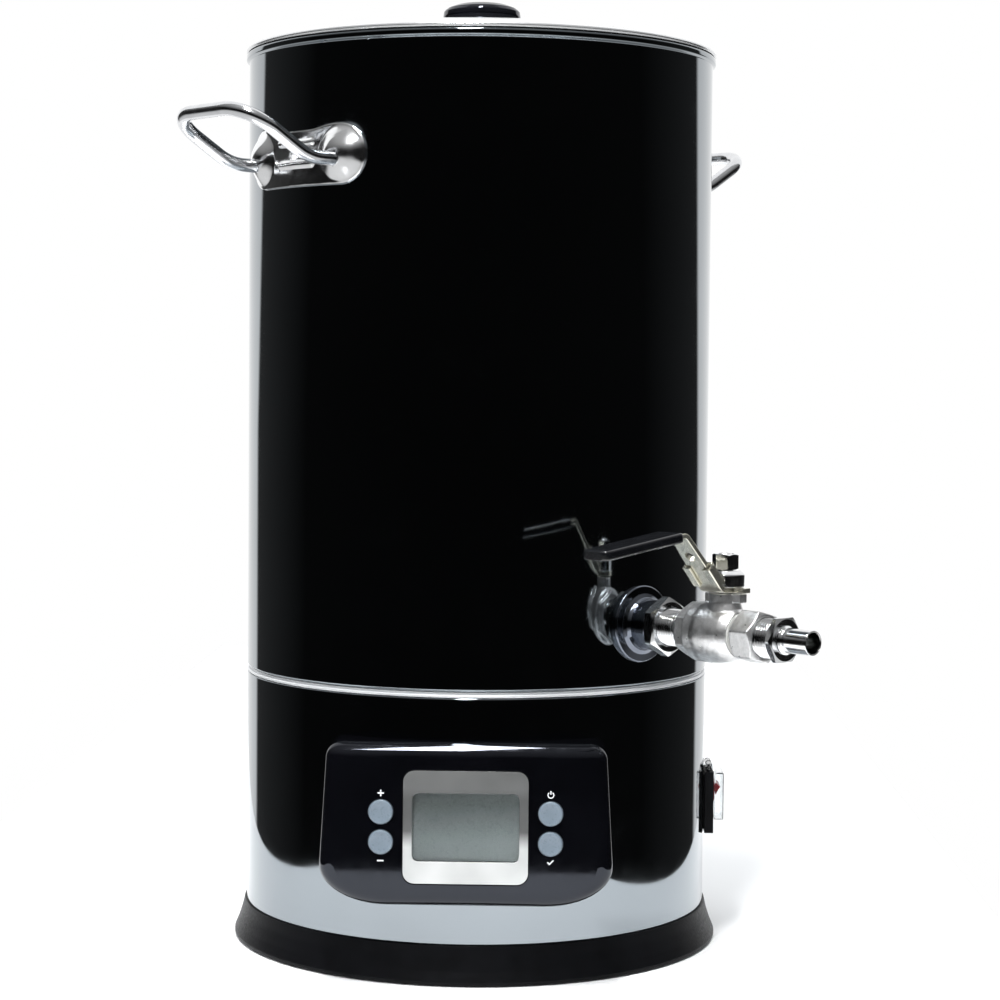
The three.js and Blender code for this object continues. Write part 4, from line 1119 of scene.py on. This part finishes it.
def build_stem():
    low, high = height("valve_stem")
    stem = turned("stem_rod", [
        (0, low), (3.4, low, 0.4), (3.4, 11.6), (4, 11.8), (4, high - 0.8, 0.6), (3.2, high),
        (0, high),
    ], UP, sides=48)
    stands_for(stem, "valve_stem")
    low, high = height("stem_collar")
    collar = turned("gland_collar", [
        (4.3, low), (10.8, low, 0.5), (11, high - 2.2, 1.4), (8.4, high, 0.6), (4.3, high),
    ], UP, closed=True)
    carve(collar, block("flat", (-12, -14, low - 2), (12, -8.5, high + 2), UP))
    stands_for(collar, "stem_collar", "polished_steel")
    low, high = height("stem_nut")
    turned_nut = UP @ Matrix.Rotation(0.5, 4, "Z")
    stands_for(hex_nut("handle_nut", 13, 4.3, low, high, turned_nut), "stem_nut")


class LeverLine:
    """The lever's bent middle line, in distance from the stem towards -Y and height above the pipe."""

    def __init__(self, points, bend):
        path = filleted_path([(u, 0, v, bend) for u, v in points])
        self.points = [Vector((p.x, p.z)) for p in path]
        self.lengths = [0.0]
        for a, b in zip(self.points, self.points[1:]):
            self.lengths.append(self.lengths[-1] + (b - a).length)

    def at(self, distance):
        """The point at a distance along the line, and the unit vector along it there."""
        distance = max(0.0, distance)
        k = 0
        while k < len(self.lengths) - 2 and self.lengths[k + 1] < distance:
            k += 1
        along = (self.points[k + 1] - self.points[k]).normalized()
        return self.points[k] + along * (distance - self.lengths[k]), along

    def loop(self, distance, section):
        """A cross-section of (sideways, outwards) points placed at a distance along the line."""
        middle, along = self.at(distance)
        out = Vector((-along.y, along.x))
        loop = []
        for sideways, outwards in section:
            u, v = middle + out * outwards
            loop.append((sideways, -u, v))
        return loop

    def place(self, distance):
        """A frame on the line whose +Z points out of its upper side."""
        middle, along = self.at(distance)
        lean = Matrix.Rotation(-math.atan2(along.y, along.x), 4, "X")
        return UP @ Matrix.Translation((0, -middle.x, middle.y)) @ lean


ARM = {"root": 8.5, "tip": 6.25, "sheet": 2.8}  # the lever's half widths and thickness
EYE_AT, EYE_R = 47.2, 3.2  # the padlock hole's place along the lever's line, and its radius


def lever_line():
    level = height("lever")[0] + ARM["sheet"] / 2
    return LeverLine([(-11, level), (9.7, level), (37.7, 55.7), (100.6, 47.55)], 3.5)


def build_lever():
    line = lever_line()
    total = line.lengths[-1]
    root, tip, half = ARM["root"], ARM["tip"], ARM["sheet"] / 2

    def half_width(distance):
        if distance < root:
            return math.sqrt(max(0.01, root ** 2 - (root - distance) ** 2))
        taper = min(1.0, max(0.0, (distance - 20) / 42))
        return root - (root - tip) * taper

    stations = [
        0.02, 0.3, 0.9, 1.8, 3, 4.5, 6.3, 8.5, 11, 14, *range(16, 30), 36, 42, 50, *range(56, 70),
        80, 100, total]
    loops = []
    for distance in stations:
        reach = half_width(distance)
        loops.append(line.loop(distance, rounded_rect(2 * reach, 2 * half, min(0.5, reach / 2))))
    arm = loft("lever_arm", loops, UP, 40)
    eye = line.place(EYE_AT)
    carve(arm, rod("eye", EYE_R, -4, 4, eye))
    level = line.points[0].y
    tab = block("tab", (5, -3, level - half), (16, 3, level + half), UP)
    unite(arm, soften(tab, 0.4))
    stands_for(arm, "lever")

    grip_start, grip_end = total - 57.4, total + 2
    width, thickness = 19, 5.6
    loops = []
    sleeve = [(0, 0.88), (0.4, 0.97), (1.2, 1), *[(2 + 52 * k / 10, 1) for k in range(11)]]
    for distance, scale in sleeve:
        section = rounded_rect(width * scale, thickness * scale, 1.7 * scale)
        loops.append(line.loop(grip_start + distance, section))
    for k in range(1, 7):
        angle = math.pi / 2 * k / 6
        distance = grip_end - 3.6 + 3.5 * math.sin(angle)
        shrink = 3.4 * (1 - math.cos(angle))
        flat = thickness - 1.5 * (1 - math.cos(angle))
        loops.append(line.loop(distance, rounded_rect(width - 2 * shrink, flat, 1.7)))
    stands_for(loft("grip_sleeve", loops, UP, 50), "lever_grip")


def build_slide():
    """The padlock slide: a sheet channel round the lever's slope, its upper end curled up."""
    line = lever_line()
    inner, lip, roof = ARM["root"] + 0.15, 4.6, ARM["sheet"] / 2 + 0.15
    outer, top, low_face, bottom = inner + 1.35, roof + 1.3, -roof, -roof - 1.3
    half = [
        (outer, top, 0.9), (outer, bottom, 0.9), (lip, bottom, 0.3), (lip, low_face, 0.3),
        (inner, low_face, 0.3), (inner, roof, 0.2)]
    section = rounded([(-outer, top, 0.9), *half, *[(-x, y, r) for x, y, r in half[:0:-1]]], True)
    start = 25.4
    slide = loft("slide_clip", [line.loop(start + d, section) for d in (0, 4, 9, 13.5)], UP, 40)
    curl = line.place(start + 13) @ Matrix.Translation((0, 0, top - 0.1)) @ ALONG_X
    roll = [(0, -8.6), (1.1, -8.6, 0.4), (1.1, 8.6, 0.4), (0, 8.6)]
    unite(slide, turned("curl", roll, curl, sides=32))
    stands_for(slide, "lock_slide")


def build_outlet():
    start, end = span("outlet_nipple")
    thread = threaded_tube("outlet_thread", 10.8, 7.1, start, end, PIPE)
    stands_for(thread, "outlet_nipple")

    start, end = span("outlet_nut")
    turn = Matrix.Rotation(math.radians(30), 4, "Z")
    stands_for(hex_nut("compression_nut", 24, 7.1, start, end, PIPE @ turn), "outlet_nut")

    start, end = span("spout")
    collar = span("outlet_nut")[1] + 0.3
    stands_for(turned("spout_pipe", [
        (5.9, start), (6.8, start), (6.8, collar), (8.3, collar, 0.3), (6.8, collar + 1.7, 1),
        (6.8, end, 0.4), (5.9, end, 0.4),
    ], PIPE, closed=True), "spout")


# ---- stage, light and camera


def build_stage():
    """A pale sheet under the brewer, ending a little way in front of it and beside it."""
    front, back, left, right = -470, 1500, -370, 330
    outline = rounded([(left, front, 150), (right, front, 150), (right, back), (left, back)], True)
    vertices = [(x, y, FLOOR_Z) for x, y in outline]
    floor = make("floor", vertices, [list(range(len(vertices)))])
    floor.data.materials.append(
        surface("pale_floor", (0.93, 0.93, 0.93), 0.0, 0.7, [((3, 2), 0.99, 1.01)]))
    for polygon in floor.data.polygons:
        if polygon.normal.z < 0:
            polygon.flip()


def build_world():
    """White behind the brewer and dark in front of it, as its shiny sides show; white to the camera."""
    world = bpy.data.worlds.new("studio")
    bpy.context.scene.world = world
    nodes = Nodes(world)
    nodes.tree.nodes.clear()

    def reckon(operation, *values):
        return nodes.node("Math", enumerate(values), operation=operation).outputs[0]

    def greys(value, *stops):
        return nodes.ramp(value, [(position, (level,) * 3) for position, level in stops])

    def wall(sink, slope, *stops):
        """Dark to pale round the horizon; the border leans back above a sink below the horizon."""
        raised = reckon("MULTIPLY", reckon("MAXIMUM", z, -sink), slope)
        return greys(reckon("ADD", turn, raised), (0.0, 0.004), (0.5, 0.006), *stops)

    place = nodes.node("TexCoord")
    split = nodes.node("SeparateXYZ", {"Vector": place.outputs["Generated"]})
    x, y, z = (split.outputs[axis] for axis in "XYZ")
    across = reckon("SQRT", reckon("ADD", reckon("MULTIPLY", x, x), reckon("MULTIPLY", y, y)))
    behind = reckon("DIVIDE", y, reckon("MAXIMUM", across, 0.001))
    turn = reckon("MULTIPLY_ADD", behind, 0.5, 0.5)
    right = wall(0.05, 0.3, (0.72, 0.02), (0.879, 0.03), (0.9, 1.0))
    left = wall(0.025, 0.36, (0.72, 0.03), (0.866, 0.045), (0.884, 1.0))
    level = greys(
        reckon("MULTIPLY_ADD", z, 0.5, 0.5),
        (0.0, 0.8), (0.3, 0.6), (0.4, 0.0), (0.6, 0.0), (0.7, 0.15), (0.9, 0.35))
    walls = nodes.mix(reckon("GREATER_THAN", x, 0.0), left, right)
    reflected = nodes.mix(1.0, walls, level, "LIGHTEN")

    rays = nodes.node("LightPath").outputs
    glow = nodes.node("Background", {"Color": reflected, "Strength": 1.1}).outputs[0]
    soft = nodes.node("Background", {"Color": (0.9, 0.95, 1.0, 1), "Strength": 0.55}).outputs[0]
    shown = nodes.node("Background", {"Color": (1, 1, 1, 1)}).outputs[0]
    lit = nodes.node("MixShader", {0: rays["Is Diffuse Ray"], 1: glow, 2: soft}).outputs[0]
    seen = nodes.node("MixShader", {0: rays["Is Camera Ray"], 1: lit, 2: shown}).outputs[0]
    nodes.node("OutputWorld", {"Surface": seen})


def area_light(name, position, target, size, power, glossy=False):
    data = bpy.data.lights.new(name, "AREA")
    data.shape = "RECTANGLE"
    data.size, data.size_y = size
    data.energy = power
    light = bpy.data.objects.new(name, data)
    light.location = position
    light.rotation_euler = (Vector(target) - Vector(position)).to_track_quat("-Z", "Y").to_euler()
    light.visible_glossy = glossy
    bpy.context.scene.collection.objects.link(light)


def build_lights():
    area_light("overhead", (0, 0.1, 1.9), (0, 0, 0), (2.4, 2.4), 34)
    area_light("top_strip", (-0.073, -0.62, 1.5), (-0.02, -0.15, 0.3), (0.12, 0.95), 26, glossy=True)
    area_light("front_fill", (-0.9, -1.6, 1.3), (0, 0, 0.25), (1.2, 1.2), 14)


CAMERA_AWAY, CAMERA_RISE = 1.46, 0.342  # metres from the brewer's axis and above the floor
CAMERA_AZIMUTH, CAMERA_YAW, CAMERA_PITCH, CAMERA_ROLL = (
    math.radians(angle) for angle in (2.0, 0.53, 3.03, 0.507))
SENSOR = 36
FOCAL_WIDTHS = 2.385  # focal length in widths of the picture


def build_camera():
    data = bpy.data.cameras.new("camera")
    camera = bpy.data.objects.new("camera", data)
    bpy.context.scene.collection.objects.link(camera)
    data.sensor_width = SENSOR
    data.lens = SENSOR * FOCAL_WIDTHS
    data.clip_start = 0.05
    camera.location = (
        CAMERA_AWAY * math.sin(CAMERA_AZIMUTH),
        -CAMERA_AWAY * math.cos(CAMERA_AZIMUTH),
        CAMERA_RISE + FLOOR_Z * MM)
    heading = Matrix.Rotation(CAMERA_AZIMUTH - CAMERA_YAW, 4, "Z")
    tilt = Matrix.Rotation(math.pi / 2 - CAMERA_PITCH, 4, "X")
    roll = Matrix.Rotation(CAMERA_ROLL, 4, "Z")
    camera.matrix_world = Matrix.Translation(camera.location) @ heading @ tilt @ roll
    bpy.context.scene.camera = camera
    bpy.context.scene.view_settings.view_transform = "Standard"


for build in (
    build_camera, build_kettle, build_lid, build_handles, build_base,
    build_housing, build_display, build_buttons, build_marks, build_switch,
    build_cover, build_kept_nodes, build_bulkhead, build_valve_castings, build_stem,
    build_lever, build_slide, build_outlet, build_stage, build_world,
    build_lights,
):
    build()
